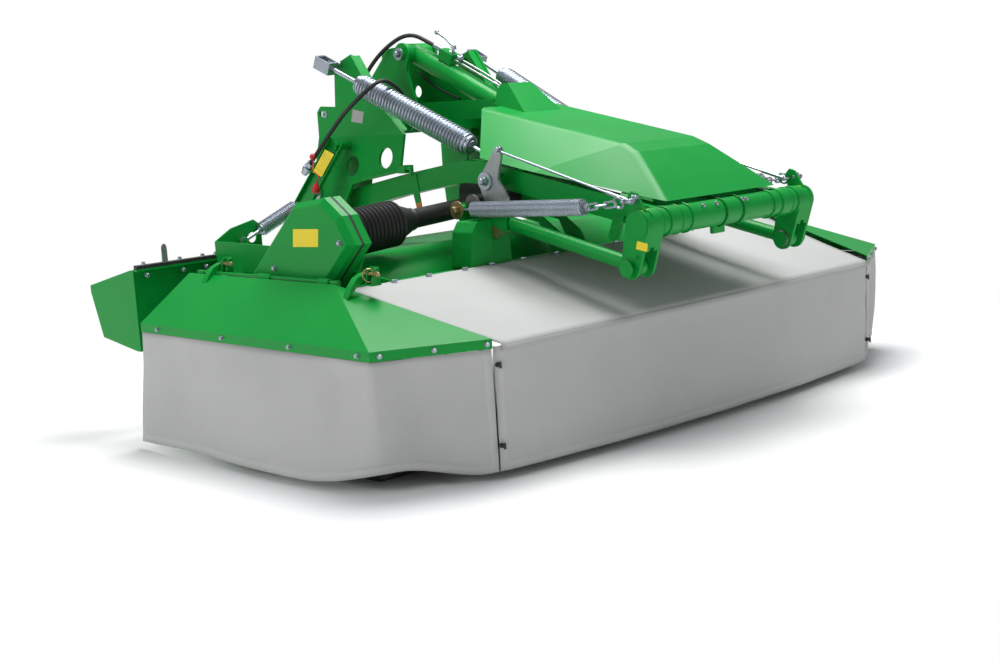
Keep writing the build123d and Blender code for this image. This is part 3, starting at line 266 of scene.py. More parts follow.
def turned(bm, profile, matrix, steps=24):
    """A profile of (radius, height) pairs spun round Z, then placed."""
    before = set(bm.verts)
    verts = [bm.verts.new((radius, 0, height)) for radius, height in profile]
    edges = [bm.edges.new(pair) for pair in zip(verts, verts[1:])]
    bmesh.ops.spin(bm, geom=verts + edges, cent=(0, 0, 0), axis=(0, 0, 1), angle=2 * pi, steps=steps,
                   use_merge=True)
    return place(bm, [vert for vert in bm.verts if vert not in before], matrix)


def round_plate(bm, centre, direction, outer, inner, thickness):
    """A washer, or a disc if inner is 0, standing on a place; sizes in millimetres."""
    rim = 0.12 * thickness
    profile = [(inner, 0), (outer, 0), (outer, thickness - rim), (outer - rim, thickness), (inner, thickness)]
    profile += profile[:1] if inner else []
    return turned(bm, [(r * MM, z * MM) for r, z in profile], facing(v(*centre), direction), 32)


def collar(bm, centre, direction, inner, outer, half, steps):
    """A plain ring that reaches half its width to each side of a place; sizes in metres."""
    profile = [(inner, -half), (outer, -half), (outer, half), (inner, half), (inner, -half)]
    return turned(bm, profile, facing(centre, direction), steps)


def spun_wire(bm, radius, wire_radius, sides, angle, steps, closed=False, rise=0.0):
    """A round wire swept round Z at a radius, rising by a length at each step."""
    before = set(bm.verts)
    made = bmesh.ops.create_circle(bm, cap_ends=not closed, segments=sides, radius=wire_radius)["verts"]
    stand = Matrix.Translation((radius, 0, 0)) @ Matrix.Rotation(pi / 2, 4, "X")
    bmesh.ops.transform(bm, matrix=stand, verts=made)
    edges = list({edge for vert in made for edge in vert.link_edges})
    bmesh.ops.spin(bm, geom=made + edges, cent=(0, 0, 0), axis=(0, 0, 1), angle=angle, steps=steps,
                   dvec=(0, 0, rise), use_merge=closed)
    return [vert for vert in bm.verts if vert not in before]


def ring(bm, centre, axis, radius, wire_radius, segments=24, sides=8, stretch=0.0, turn=0.0):
    """A round wire bent into a ring, or into a long link if stretch is given."""
    verts = spun_wire(bm, radius, wire_radius, sides, 2 * pi, segments, closed=True)
    if stretch:
        for vert in verts:
            vert.co.x += stretch if vert.co.x > 0 else -stretch
    return place(bm, verts, facing(centre, axis, turn))


def coil(bm, start, end, radius, wire_radius, turns, steps=18, sides=8, taper=0.0):
    """A coil spring from start to end; radius is to the middle of the wire."""
    count = int(turns * steps)
    length = (end - start).length
    verts = spun_wire(bm, radius, wire_radius, sides, 2 * pi * turns, count, rise=length / count)
    if taper:
        for vert in verts:
            share = min(vert.co.z, length - vert.co.z) / (COIL_END * length)
            pull = 1 - taper * max(0.0, 1 - share)
            vert.co.x *= pull
            vert.co.y *= pull
    return place(bm, verts, facing(start, end - start))


def bolt(bm, place_at, direction, across=19.0, washer=1.15, nut=0.0, turn=0.2):
    """A hexagon head on its washer; across is the width over the flats in millimetres."""
    flat = across * MM
    corner, height, base = flat / 2 / cos(pi / 6), 0.62 * flat, 2.4 * MM
    stack = [(6, corner, corner, base, 0.8 * height),
             (12, 0.51 * flat, 0.43 * flat, base + 0.8 * height, 0.2 * height)]
    if washer:
        stack.insert(0, (20, 0.625 * flat * washer, 0.6 * flat * washer, 0.0, base))
    head = facing(place_at, direction, turn)
    for segments, foot, top, rise, depth in stack:
        made = bmesh.ops.create_cone(bm, cap_ends=True, segments=segments, radius1=foot, radius2=top,
                                     depth=depth)
        place(bm, made["verts"], head @ Matrix.Translation((0, 0, rise + depth / 2)))
    if nut:
        rod(bm, place_at, place_at + Vector(direction).normalized() * (nut * MM + height), 0.3 * flat, 12)


def tube_mesh(points, radius, sides, resolution):
    """The mesh of a smooth round tube through control points, or its middle line if radius is 0."""
    curve = bpy.data.curves.new("tube", "CURVE")
    curve.dimensions = "3D"
    curve.bevel_depth = radius
    curve.bevel_resolution = sides
    curve.use_fill_caps = True
    spline = curve.splines.new("NURBS")
    spline.points.add(len(points) - 1)
    for point, target in zip(spline.points, points):
        point.co = (*target, 1)
    spline.order_u = 3
    spline.use_endpoint_u = True
    spline.resolution_u = resolution
    holder = bpy.data.objects.new("tube", curve)
    mesh = bpy.data.meshes.new_from_object(holder)
    bpy.data.objects.remove(holder)
    bpy.data.curves.remove(curve)
    return mesh


def wire(bm, points, radius):
    """A bent wire or pipe through points, added to a bmesh."""
    mesh = tube_mesh(points, radius, 2, 6)
    bm.from_mesh(mesh)
    bpy.data.meshes.remove(mesh)


# ---------------------------------------------------------------- sizes and colours a user may change
def colour_property(name, description, code):
    return bpy.props.StringProperty(name=name, description=description, default=code)


class MOWER_PG_colours(bpy.types.PropertyGroup):
    """Colours of the machine, as sRGB hex values."""
    green: colour_property("Paint", "Powder coat of the machine", "#059036")
    canvas: colour_property("Canvas", "Guard canvas", "#B3B4B2")
    hem: colour_property("Hem", "Doubled band along the canvas edges", "#B9BAB8")


class MOWER_PG_sizes(bpy.types.PropertyGroup):
    """Sizes of the details that are made here."""
    hem: bpy.props.FloatProperty(name="Hem", description="Width of the doubled band along the skirts' hems",
                                 default=0.032, unit="LENGTH")
    cloth: bpy.props.FloatProperty(name="Cloth", description="Thickness of the canvas", default=0.003,
                                   unit="LENGTH")
    relief_wire: bpy.props.FloatProperty(name="Relief spring wire", description="Radius of the wire",
                                         default=0.0066, unit="LENGTH")
    relief_turns: bpy.props.IntProperty(name="Relief spring turns", description="Number of turns", default=40)
    bolt: bpy.props.FloatProperty(name="Cover bolts", description="Width over the flats", default=0.013,
                                  unit="LENGTH")


class MOWER_OT_stage(bpy.types.Operator):
    """Pale floor, soft light and the camera"""
    bl_idname = "mower.stage"
    bl_label = "Stage"

    def execute(self, context):
        # the camera's bearing from +Y towards +X, how far it looks down, and its roll
        bearing, pitch, roll = radians(43.924), radians(9.318), radians(-3.543)
        look = Vector((sin(bearing) * cos(pitch), cos(bearing) * cos(pitch), -sin(pitch)))
        level = Vector((cos(bearing), -sin(bearing), 0))
        up = level.cross(look)
        right = cos(roll) * level + sin(roll) * up
        over = -sin(roll) * level + cos(roll) * up
        data = bpy.data.cameras.new("camera")
        data.lens = 54.97
        camera = bpy.data.objects.new("camera", data)
        camera.matrix_world = (Matrix.Translation((-4.556, -4.582, 1.316))
                               @ Matrix((right, over, -look)).transposed().to_4x4())
        context.scene.collection.objects.link(camera)
        context.scene.camera = camera

        bm = bmesh.new()
        bmesh.ops.create_grid(bm, x_segments=1, y_segments=1, size=40)
        mesh = bpy.data.meshes.new("floor")
        bm.to_mesh(mesh)
        bm.free()
        floor = bpy.data.objects.new("floor", mesh)
        floor.location.z = -0.0005
        context.scene.collection.objects.link(floor)
        mesh.materials.append(floor_material())

        world = bpy.data.worlds.new("white studio")
        context.scene.world = world
        world.use_nodes = True
        tree = world.node_tree
        tree.nodes.clear()
        rays = add(tree, "LightPath")
        seen = add(tree, "Math", {0: rays.outputs["Is Camera Ray"], 1: rays.outputs["Is Transmission Ray"]},
                   operation="MAXIMUM")
        soft = add(tree, "Background", in_Color=linear("#F2F5FA"), in_Strength=0.33)
        white = add(tree, "Background", in_Color=(1, 1, 1, 1), in_Strength=1.0)
        both = add(tree, "MixShader", {0: seen.outputs[0], 1: soft.outputs[0], 2: white.outputs[0]})
        add(tree, "OutputWorld", {"Surface": both.outputs[0]})

        for name, place_at, target, power, size in (
                ("overhead", (0.6, 0.3, 5.0), (0, -0.2, 0.6), 330, 3.2),
                ("near side", (-6.5, 1.5, 2.6), (-0.6, -0.2, 0.5), 105, 3.5),
                ("front", (-1.5, -6.5, 2.6), (0.3, -0.5, 0.6), 35, 3.5)):
            lamp_data = bpy.data.lights.new(name, "AREA")
            lamp_data.energy = power
            lamp_data.size = size
            lamp = bpy.data.objects.new(name, lamp_data)
            lamp.matrix_world = facing(Vector(place_at), Vector(place_at) - Vector(target))
            context.scene.collection.objects.link(lamp)
        context.scene.view_settings.view_transform = "Standard"
        return {"FINISHED"}


def floor_material():
    """Matt white studio floor that fades to plain white away from the machine."""
    made = bpy.data.materials.new("white floor paint")
    made.use_nodes = True
    tree = made.node_tree
    shader = tree.nodes["Principled BSDF"]
    shader.inputs["Base Color"].default_value = (0.93, 0.93, 0.93, 1)
    shader.inputs["Roughness"].default_value = 0.85
    place = add(tree, "TexCoord")
    away = add(tree, "VectorMath", {0: place.outputs["Object"]}, operation="LENGTH")
    share = add(tree, "MapRange", {"Value": away.outputs["Value"]}, interpolation_type="SMOOTHERSTEP",
                in_From_Min=1.9, in_From_Max=3.6)
    lit = add(tree, "Emission", in_Color=(1, 1, 1, 1), in_Strength=1.0)
    both = add(tree, "MixShader", {0: share.outputs["Result"], 1: shader.outputs[0], 2: lit.outputs[0]})
    tree.links.new(both.outputs[0], tree.nodes["Material Output"].inputs["Surface"])
    return made


# ---------------------------------------------------------------- hydraulic hose
HOSE_R = 9 * MM
HOSE_ROUTE = route(
    (0, 392.8, 1467.1), (0, 456.1, 1496.2), (-30, 575, 1560), (-105, 660, 1498), (-160, 735, 1395),
    (-215, 715, 1310), (-262, 602, 1264), (-274, 469, 1246), (-267, 360, 1280), (-356, 315, 1330),
    (-484, 253, 1364), (-579, 301, 1282), (-512, 516, 1201), (-494, 747, 1024))


class MOWER_OT_hose(bpy.types.Operator):
    """Hydraulic hose from the ball valve to the coupler on the headstock"""
    bl_idname = "mower.hose"
    bl_label = "Hydraulic hose"

    def execute(self, context):
        middle = tube_mesh(HOSE_ROUTE, 0, 6, 10)
        bpy.data.meshes.remove(middle)
        mesh = tube_mesh(HOSE_ROUTE, HOSE_R, 6, 10)
        mesh.name = "hose"
        hose = bpy.data.objects.new("hose", mesh)
        context.scene.collection.objects.link(hose)
        mesh.materials.append(MATERIALS["rubber"])
        mesh.shade_smooth()
        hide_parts("hydraulic_hose")
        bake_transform(hose)
        return {"FINISHED"}


# ---------------------------------------------------------------- finishes of the CAD pieces
NODE_FINISHES = {
    "dark": ("cutter_bar", "skids"),
    "blade": tuple(f"disc_{number}" for number in range(1, 8)) + ("conditioner_rotor", "rotor_tines"),
    "zinc": ("hitch_pins", "leg_pins", "spring_tensioners", "hose_coupler"),
    "galvanised": ("lift_levers", "pressure_pipe"),
    "chrome": ("cylinder_rod",),
    "rubber": ("belt_seal",),
    "plastic": ("driveshaft_guard",),
    "casting": ("drive_towers", "centre_gearbox", "hanger_arms"),
}


class MOWER_OT_finishes(bpy.types.Operator):
    """Gives every CAD piece its finish"""
    bl_idname = "mower.finishes"
    bl_label = "CAD finishes"

    def execute(self, context):
        finish_of = {node: name for name, nodes in NODE_FINISHES.items() for node in nodes}
        for name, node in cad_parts.items():
            node.data.materials.clear()
            node.data.materials.append(MATERIALS[finish_of.get(name, "green")])
        return {"FINISHED"}


# ---------------------------------------------------------------- canvas guards
HEM_STEP = 0.0015                        # half the height of the step up to a hem, as a share of the drop
BAND_STEP = 0.0008                       # the same for a band, as a share of the width
HEM_RISE = 0.0012                        # how far doubled cloth stands out, in metres


def cloth(name, across, down, shape, real, hem, thickness, body, node, bands=(), held="hung", rests_on=()):
    """A canvas sheet: shape(u, w) gives its place for u across and w down, both from 0 to 1.

    The last hem metres of its drop, and the bands given as (low, high) in u, are doubled cloth.
    """
    width, drop = real
    edge = 1 - hem / drop

    def doubled(u, w):
        return w > edge or any(low <= u <= high for low, high in bands)

    rows = [step / down for step in range(down + 1)]
    rows = sorted(rows + [edge - HEM_STEP, edge + HEM_STEP]) if hem else rows
    columns = [step / across for step in range(across + 1)]
    for bound in (bound for band in bands for bound in band if 0 < bound < 1):
        columns += [bound - BAND_STEP, bound + BAND_STEP]
    columns.sort()
    bm = bmesh.new()
    layer = bm.loops.layers.uv.new("cloth")
    bmesh.ops.create_grid(bm, x_segments=len(columns) - 1, y_segments=len(rows) - 1, size=1)
    spots = {}
    for vert in bm.verts:
        u = columns[round((vert.co.x + 1) / 2 * (len(columns) - 1))]
        w = rows[round((vert.co.y + 1) / 2 * (len(rows) - 1))]
        spots[vert] = (u, w)
        vert.co = shape(u, w)
    bm.normal_update()
    for vert, (u, w) in spots.items():
        if doubled(u, w):
            vert.co += vert.normal * HEM_RISE
    for face in bm.faces:
        u = sum(spots[vert][0] for vert in face.verts) / 4
        w = sum(spots[vert][1] for vert in face.verts) / 4
        face.material_index = int(doubled(u, w))
        for loop in face.loops:
            loop[layer].uv = (spots[loop.vert][0] * width, spots[loop.vert][1] * drop)
    mesh = bpy.data.meshes.new(name)
    bm.to_mesh(mesh)
    bm.free()
    piece = bpy.data.objects.new(name, mesh)
    bpy.context.scene.collection.objects.link(piece)
    for finish_name in ("canvas", "hem"):
        mesh.materials.append(MATERIALS[finish_name])
    mesh.shade_smooth()
    wall = piece.modifiers.new("cloth", "SOLIDIFY")
    wall.thickness = thickness
    wall.offset = -1
    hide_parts(node)
    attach(piece, body)


def ease(value):
    """A smooth step from 0 to 1."""
    value = min(1.0, max(0.0, value))
    return value * value * (3 - 2 * value)


def hump(value, centre, spread):
    """A smooth bump of height 1."""
    return 1 / (1 + ((value - centre) / spread) ** 2) ** 2


def wander(x, y, size, seed=0.0):
    """A slow, fixed unevenness between about -1 and 1."""
    return noise.noise(Vector((x / size, y / size, seed)))


def front_shape(u, w):
    """The front skirt: bowed between its side edges, which are flaps against the corners."""
    half = 1.123 - 0.006 * w
    x = half * (2 * u - 1)
    bow = max(0.0, 1 - (x / 1.085) ** 2)
    flap = max(0.0, (abs(x) - 1.08) / 0.04)
    y = -1.0035 + 0.02 * w - (0.004 + 0.064 * ease(w) ** 0.8) * bow + (0.022 - 0.012 * w) * flap
    y -= 0.006 * w * wander(x, w, 0.35, 3.0) * bow + 0.0025 * wander(x, w, 0.12, 7.0)
    return Vector((x, y, 0.4575 - 0.4275 * w))


def top_shape(u, w):
    """The top sheet, from front to rear: it sags a little between the bars of its frame."""
    if w < 0.02:                      # the front edge folds down over the skirt
        half, y, z = 1.1, -1.0075, 0.446 + 0.0155 * w / 0.02
    else:
        share = (w - 0.02) / 0.98
        half = 1.1 + 0.135 * share
        y = -1.0055 + 0.6255 * share
        z = 0.4640 + 0.1670 * share
        sag = sin(pi * min(1.0, share)) * (0.5 + 0.5 * cos((half * (2 * u - 1) / 0.3) * pi))
        z += 0.0012 - 0.005 * sag + 0.002 * wander(2.2 * u, share, 0.22, 1.0) * sin(pi * share)
    return Vector((half * (2 * u - 1), y, z))


SIDE_TOP = route((-1496.5, 583, 450), (-1496.5, -792, 450), (-1132, -980.5, 450))
# the hem hangs in waves and lifts where it turns the corner
SIDE_HEM = route(
    (-1541, 583, 26), (-1542, 400, 29), (-1544, 235, 31), (-1548, 80, 28), (-1556, -84, 27),
    (-1562, -220, 27), (-1565, -359, 28), (-1558, -500, 29), (-1540, -620, 41), (-1512, -715, 58),
    (-1465, -785, 71), (-1400, -822, 74), (-1330, -845, 61), (-1265, -880, 44), (-1200, -930, 30),
    (-1160, -956, 28), (-1122, -972, 30))


def along_corner(points, share, rounding):
    """A place along two runs, whose corner is rounded over a distance in metres each way."""
    first, second = (points[1] - points[0]).length, (points[2] - points[1]).length
    at = share * (first + second)
    if abs(at - first) < rounding:
        t = (at - first + rounding) / (2 * rounding)
        start = points[1].lerp(points[0], rounding / first)
        end = points[1].lerp(points[2], rounding / second)
        return start * (1 - t) ** 2 + points[1] * 2 * t * (1 - t) + end * t * t
    if at < first:
        return points[0].lerp(points[1], at / first)
    return points[1].lerp(points[2], (at - first) / second)


def along_route(points, share):
    """A place at a share of a smooth route's length."""
    lengths = [(b - a).length for a, b in zip(points, points[1:])]
    at = min(max(share, 0.0), 1.0) * sum(lengths)
    step = 0
    while step < len(lengths) - 1 and at > lengths[step]:
        at -= lengths[step]
        step += 1
    t = at / lengths[step]
    before, here, there, after = (points[min(max(step + k, 0), len(points) - 1)] for k in (-1, 0, 1, 2))
    return 0.5 * (2 * here + (there - before) * t + (2 * before - 5 * here + 4 * there - after) * t * t
                  + (3 * here - before - 3 * there + after) * t ** 3)


def side_shape(u, w):
    """The right side skirt: u runs from its rear edge round the corner to its front edge."""
    top = along_corner(SIDE_TOP, u, 0.006)
    hem = along_route(SIDE_HEM, u)
    at = top.lerp(hem, w ** 1.12)
    normal = Vector((-1, 0, 0)).lerp(Vector((-0.46, -0.89, 0)), ease((u - 0.72) / 0.1))
    wave = 0.016 * hump(u, 0.45, 0.10) - 0.028 * hump(u, 0.665, 0.05) + 0.016 * hump(u, 0.77, 0.022)
    wave -= 0.024 * hump(u, 0.13, 0.06) + 0.018 * hump(u, 0.85, 0.035)
    wave += 0.006 * wander(u * 5.0, w, 0.5, 2.0)
    at += normal * (wave * sin(pi * w ** 0.8) + 0.004 * wander(u * 1.8, w, 0.3, 5.0) * ease(w))
    at.z = top.z + (hem.z - top.z) * w
    return at


class MOWER_OT_canvas(bpy.types.Operator):
    """Canvas guards: top sheet, front skirt and side skirts"""
    bl_idname = "mower.canvas"
    bl_label = "Canvas guards"

    def execute(self, context):
        sizes = context.scene.mower_sizes
        cloth("front_skirt_cloth", 66, 18, front_shape, (2.26, 0.437), sizes.hem, sizes.cloth, "cutting_unit",
              "front_skirt", bands=((0.0, 0.013), (0.987, 1.0)), rests_on=["canvas_frame"])
        cloth("top_cloth", 72, 30, top_shape, (2.34, 0.662), 0.0, sizes.cloth, "cutting_unit", "top_canvas",
              held="stretched", rests_on=["canvas_frame"])
        for side, sign in SIDES:
            # the left skirt runs the other way, so that both face outwards
            def placed(u, w, sign=sign):
                at = side_shape(1 - u if sign > 0 else u, w)
                at.x *= -sign
                return at
            bands = ((0.0, 0.012), (0.984, 1.0)) if sign < 0 else ((0.0, 0.016), (0.988, 1.0))
            cloth(f"side_skirt_cloth_{side}", 72, 18, placed, (1.79, 0.43), sizes.hem, sizes.cloth,
                  f"side_cover_{side}", f"side_skirt_{side}", bands=bands, rests_on=[f"side_cover_{side}"])
        return {"FINISHED"}


# ---------------------------------------------------------------- springs, chains and ropes
def zinc_pair(name, node, make):
    """A zinc plated piece on each side; make(bm, sign) gives its ends if it has any, and then the piece rides
    on no body and its place is baked into its mesh.
    """
    for side, sign in SIDES:
        bm = bmesh.new()
        ends = make(bm, sign)
        piece = finish(bm, f"{name}_{side}", "zinc", None if ends else "cutting_unit", "zinc_plate")
        if ends:
            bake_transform(piece)
        if side == "right":
            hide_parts(node)


class MOWER_OT_springs(bpy.types.Operator):
    """Coil springs with their hooks and end plugs, spring chains and lift ropes"""
    bl_idname = "mower.springs"
    bl_label = "Springs"

    def execute(self, context):
        sizes = context.scene.mower_sizes

        def relief(bm, sign):
            top, low, hook = route((423 * sign, 475, 1350), (352 * sign, -128, 1070),
                                   (346 * sign, -168, 1050))
            along = (low - top).normalized()
            coil(bm, top + along * 0.004, low - along * 0.004, 0.049 - sizes.relief_wire, sizes.relief_wire,
                 sizes.relief_turns, steps=22, taper=0.25)
            rod(bm, top + along * 0.001, top + along * 0.05, 0.026, 20)
            rod(bm, top + along * 0.052, top + along * 0.07, 0.018, 6)
            rod(bm, low - along * 0.05, low - along * 0.002, 0.026, 20)
            wire(bm, [low - along * 0.01, low + along * 0.03, hook], 0.0075)
            return hook, top
        zinc_pair("relief_spring", "relief_springs", relief)

        def damper(bm, sign):
            low, high, eye = route((835 * sign, 675, 773), (652 * sign, 675, 848), (925 * sign, 675, 735))
            along = (high - low).normalized()
            coil(bm, low, high, 0.0262, 0.0044, 19)
            wire(bm, [high - along * 0.004, high + along * 0.014, high + along * 0.02 + v(0, 8, 10)], 0.0042)
            rod(bm, eye + (low - eye).normalized() * 0.016, low + along * 0.03, 0.0078, 14)
            rod(bm, low - along * 0.004, low + along * 0.012, 0.026, 20)
            rod(bm, low - along * 0.014, low - along * 0.004, 0.011, 6)
            collar(bm, eye, (0, 1, 0), 0.0095, 0.0178, 0.006, 24)
            return low, high
        zinc_pair("damper_spring", "damper_springs", damper)

        def tension(bm, sign):
            x = 537 * sign
            rear, front = route((x, -306, 841), (x, -880, 858))
            along = (front - rear).normalized()
            coil(bm, rear, front, 0.0275, 0.0041, 62, sides=6)
            rod(bm, rear - along * 0.002, rear + along * 0.014, 0.025, 20)
            rod(bm, front - along * 0.014, front + along * 0.002, 0.025, 20)
            for end, way in ((rear, -along), (front, along)):
                ring(bm, end + way * 0.014, (1, 0, 0), 0.0115, 0.0031, 16, 6)
            wire(bm, [v(x, -243, 838), v(x, -262, 839), rear - along * 0.024], 0.005)
        zinc_pair("tension_spring", "tension_springs", tension)

        def chain(bm, sign):
            start, bend, tip = route((537 * sign, -900, 859), (497 * sign, -1006, 869),
                                     (490 * sign, -1058, 880))
            run = bend - start
            way = run.normalized()
            for number in range(3):
                across = (Vector((0, 0, 1)) if number % 2 else Vector((1, 0.25, 0))).cross(run).normalized()
                axes = Matrix((way, across, way.cross(across))).transposed().to_4x4()
                link = ring(bm, Vector((0, 0, 0)), (0, 0, 1), 0.0105, 0.0042, 16, 6, stretch=0.0125)
                place(bm, link, Matrix.Translation(start + run * (0.14 + 0.30 * number)) @ axes)
            ring(bm, bend + v(0, -6, 4), (1, 0, 0.3), 0.021, 0.0052)
            rod(bm, bend + v(0, -26, 6), tip + v(0, -24, 6), 0.0058, 12)
            bolt(bm, tip + v(-4 * sign, -14, 8), tip - bend, 18, nut=8)
        zinc_pair("spring_chain", "spring_chains", chain)

        def rope(bm, sign):
            start, end = route((461.3 * sign, -378, 1060), (466.7 * sign, -1046, 872))
            along = (end - start).normalized()
            rod(bm, start, end - along * 0.02, 0.0045, 12)
            rod(bm, end - along * 0.12, end - along * 0.015, 0.0072, 12)
            ring(bm, end, (0, 0.3, 1), 0.012, 0.0045, 18)
            collar(bm, start, (1, 0, 0), 0.007, 0.015, 0.005, 20)
            rod(bm, start + v(14 * sign, 0, 0), start + v(-26 * sign, 0, 0), 0.0068, 14)
        zinc_pair("lift_rope", "wire_ropes", rope)
        return {"FINISHED"}


# ---------------------------------------------------------------- details
PAINT_SLOTS = dict(green="green_paint", casting="green_paint", dark="dark_paint", zinc="zinc_plate",
                   yellow_zinc="zinc_plate", galvanised="zinc_plate", plate="zinc_plate", blade="disc_steel",
                   rubber="black_rubber", plastic="black_plastic", red="black_plastic", label="black_plastic")


def detail(name, shape, finishes, body, both=True, **settings):
    """A piece on the right side, and its mirror image on the left unless both is False.

    shape is a function of the bmesh, or a tuple of such a function and what else it takes.
    """
    build, *given = shape if isinstance(shape, tuple) else (shape,)
    slot = PAINT_SLOTS[finishes if isinstance(finishes, str) else finishes[0]]
    for side, sign in SIDES[:2 if both else 1]:
        bm = bmesh.new()
        build(bm, *given)
        if sign > 0:
            bmesh.ops.transform(bm, matrix=Matrix.Diagonal((-1, 1, 1, 1)), verts=bm.verts)
            bmesh.ops.reverse_faces(bm, faces=bm.faces)
        finish(bm, f"{name}_{side}" if both else name, finishes, body.format(side), slot, **settings)


def bolts(name, body, spots, direction, across=19.0, both=True):
    """The same zinc plated bolt at every spot, given in millimetres on the right side."""
    def build(bm):
        for number, spot in enumerate(spots):
            bolt(bm, v(*spot), direction, across, turn=0.3 + number)
    detail(name, build, "zinc", body, both)


class MOWER_OT_driveline(bpy.types.Operator):
    """Bellows of the cross driveshaft, and what is bolted to the belt drive and the towers"""
    bl_idname = "mower.driveline"
    bl_label = "Driveline details"

    def execute(self, context):
        start, end = route((-1085, -90, 787), (-98, -90, 850))
        run = end - start
        way = run.normalized()
        bm = bmesh.new()
        profile = [(0, 0), (0.088, 0)]
        for rib in range(16):
            at, shrink = 0.006 + 0.0198 * rib, 0.0001 * rib
            profile += [(radius - shrink, at + rise) for radius, rise in (
                (0.0775, 0), (0.0775, 0.003), (0.090, 0.0095), (0.0912, 0.0125), (0.089, 0.016))]
        profile += [(0.0735, 0.326), (0.070, 0.338), (0.046, 0.402), (0.0415, 0.412), (0.038, 0.418),
                    (0.038, run.length), (0, run.length)]
        turned(bm, profile, facing(start, run), 48)
        piece = finish(bm, "shaft_bellows", "plastic", "cutting_unit", "black_plastic", smooth=50)
        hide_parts("driveshaft_guard")
        detail("bellows_ring", (round_plate, (-1091, -90, 787), (1, 0, 0), 74, 44, 6), "yellow_zinc",
               "cutting_unit", both=False)

        def clips(bm):
            for place_at, radius in ((0.405, 0.0445), (0.70, 0.0392)):
                rod(bm, start + way * place_at, start + way * (place_at + 0.012), radius, 28)
        detail("shaft_clips", clips, "plastic", "cutting_unit", both=False)

        # open guard round the input shaft
        funnel = [(0.046, 0), (0.082, 0), (0.086, 0.06), (0.094, 0.13), (0.098, 0.185), (0.0945, 0.185),
                  (0.090, 0.13), (0.082, 0.06), (0.078, 0.004), (0.046, 0.004), (0.046, 0)]
        detail("input_guard", (turned, funnel, facing(v(0, 62, 850), (0, 1, 0)), 40), "plastic",
               "cutting_unit", both=False)

        # the belt cover: its bolts and its blank label
        bolts("belt_cover_bolts", "cutting_unit", [(-1200, *spot) for spot in (
            (-309, 789), (94, 682), (225, 640), (225, 350), (-35, 330), (-150, 600))], OUT, 16, both=False)
        film = [(-39, 832), (-189, 836), (-180, 771), (-30, 766)]
        detail("belt_cover_label", (side_plate, -1200, film, -0.5), "label", "cutting_unit", both=False)

        # the towers: washers, ribs and the spring's anchor
        def tower(bm):
            round_plate(bm, (-545, -222, 838), OUT, 36, 0, 5)
            bolt(bm, v(-550, -222, 838), OUT, 30, 0)
        detail("tower_bolts", tower, "yellow_zinc", "cutting_unit")
        detail("tower_disc", (round_plate, (-500, -268, 856), OUT, 40, 12, 8), "blade", "cutting_unit")

        def ribs(bm):
            for x in (-600, -560, -472, -432):
                block(bm, v(x - 5, -316, 612), v(x + 5, -306, 712))
            for low, high in ((612, 624), (700, 712)):
                block(bm, v(-622, -316, low), v(-410, -308, high))
        detail("tower_ribs", ribs, "casting", "cutting_unit", bevel=2)
        detail("tower_bracket", (side_plate, -500, [(-323, 793), (-437, 753), (-396, 728), (-330, 742)], -6),
               "yellow_zinc", "cutting_unit")

        # the shaft's gearbox: its bolts, plug and input flange
        def gearbox(bm):
            for x in (-70, 70):
                for y in (-165, -15):
                    bolt(bm, v(x, y, 925), (0, 0, 1), 17)
            rod(bm, v(0, -120, 925), v(0, -120, 941), 0.016, 20)
            round_plate(bm, (0, 62, 850), (0, 1, 0), 46, 20, 6)
        detail("gearbox_bolts", gearbox, "zinc", "cutting_unit", both=False)
        return {"FINISHED"}


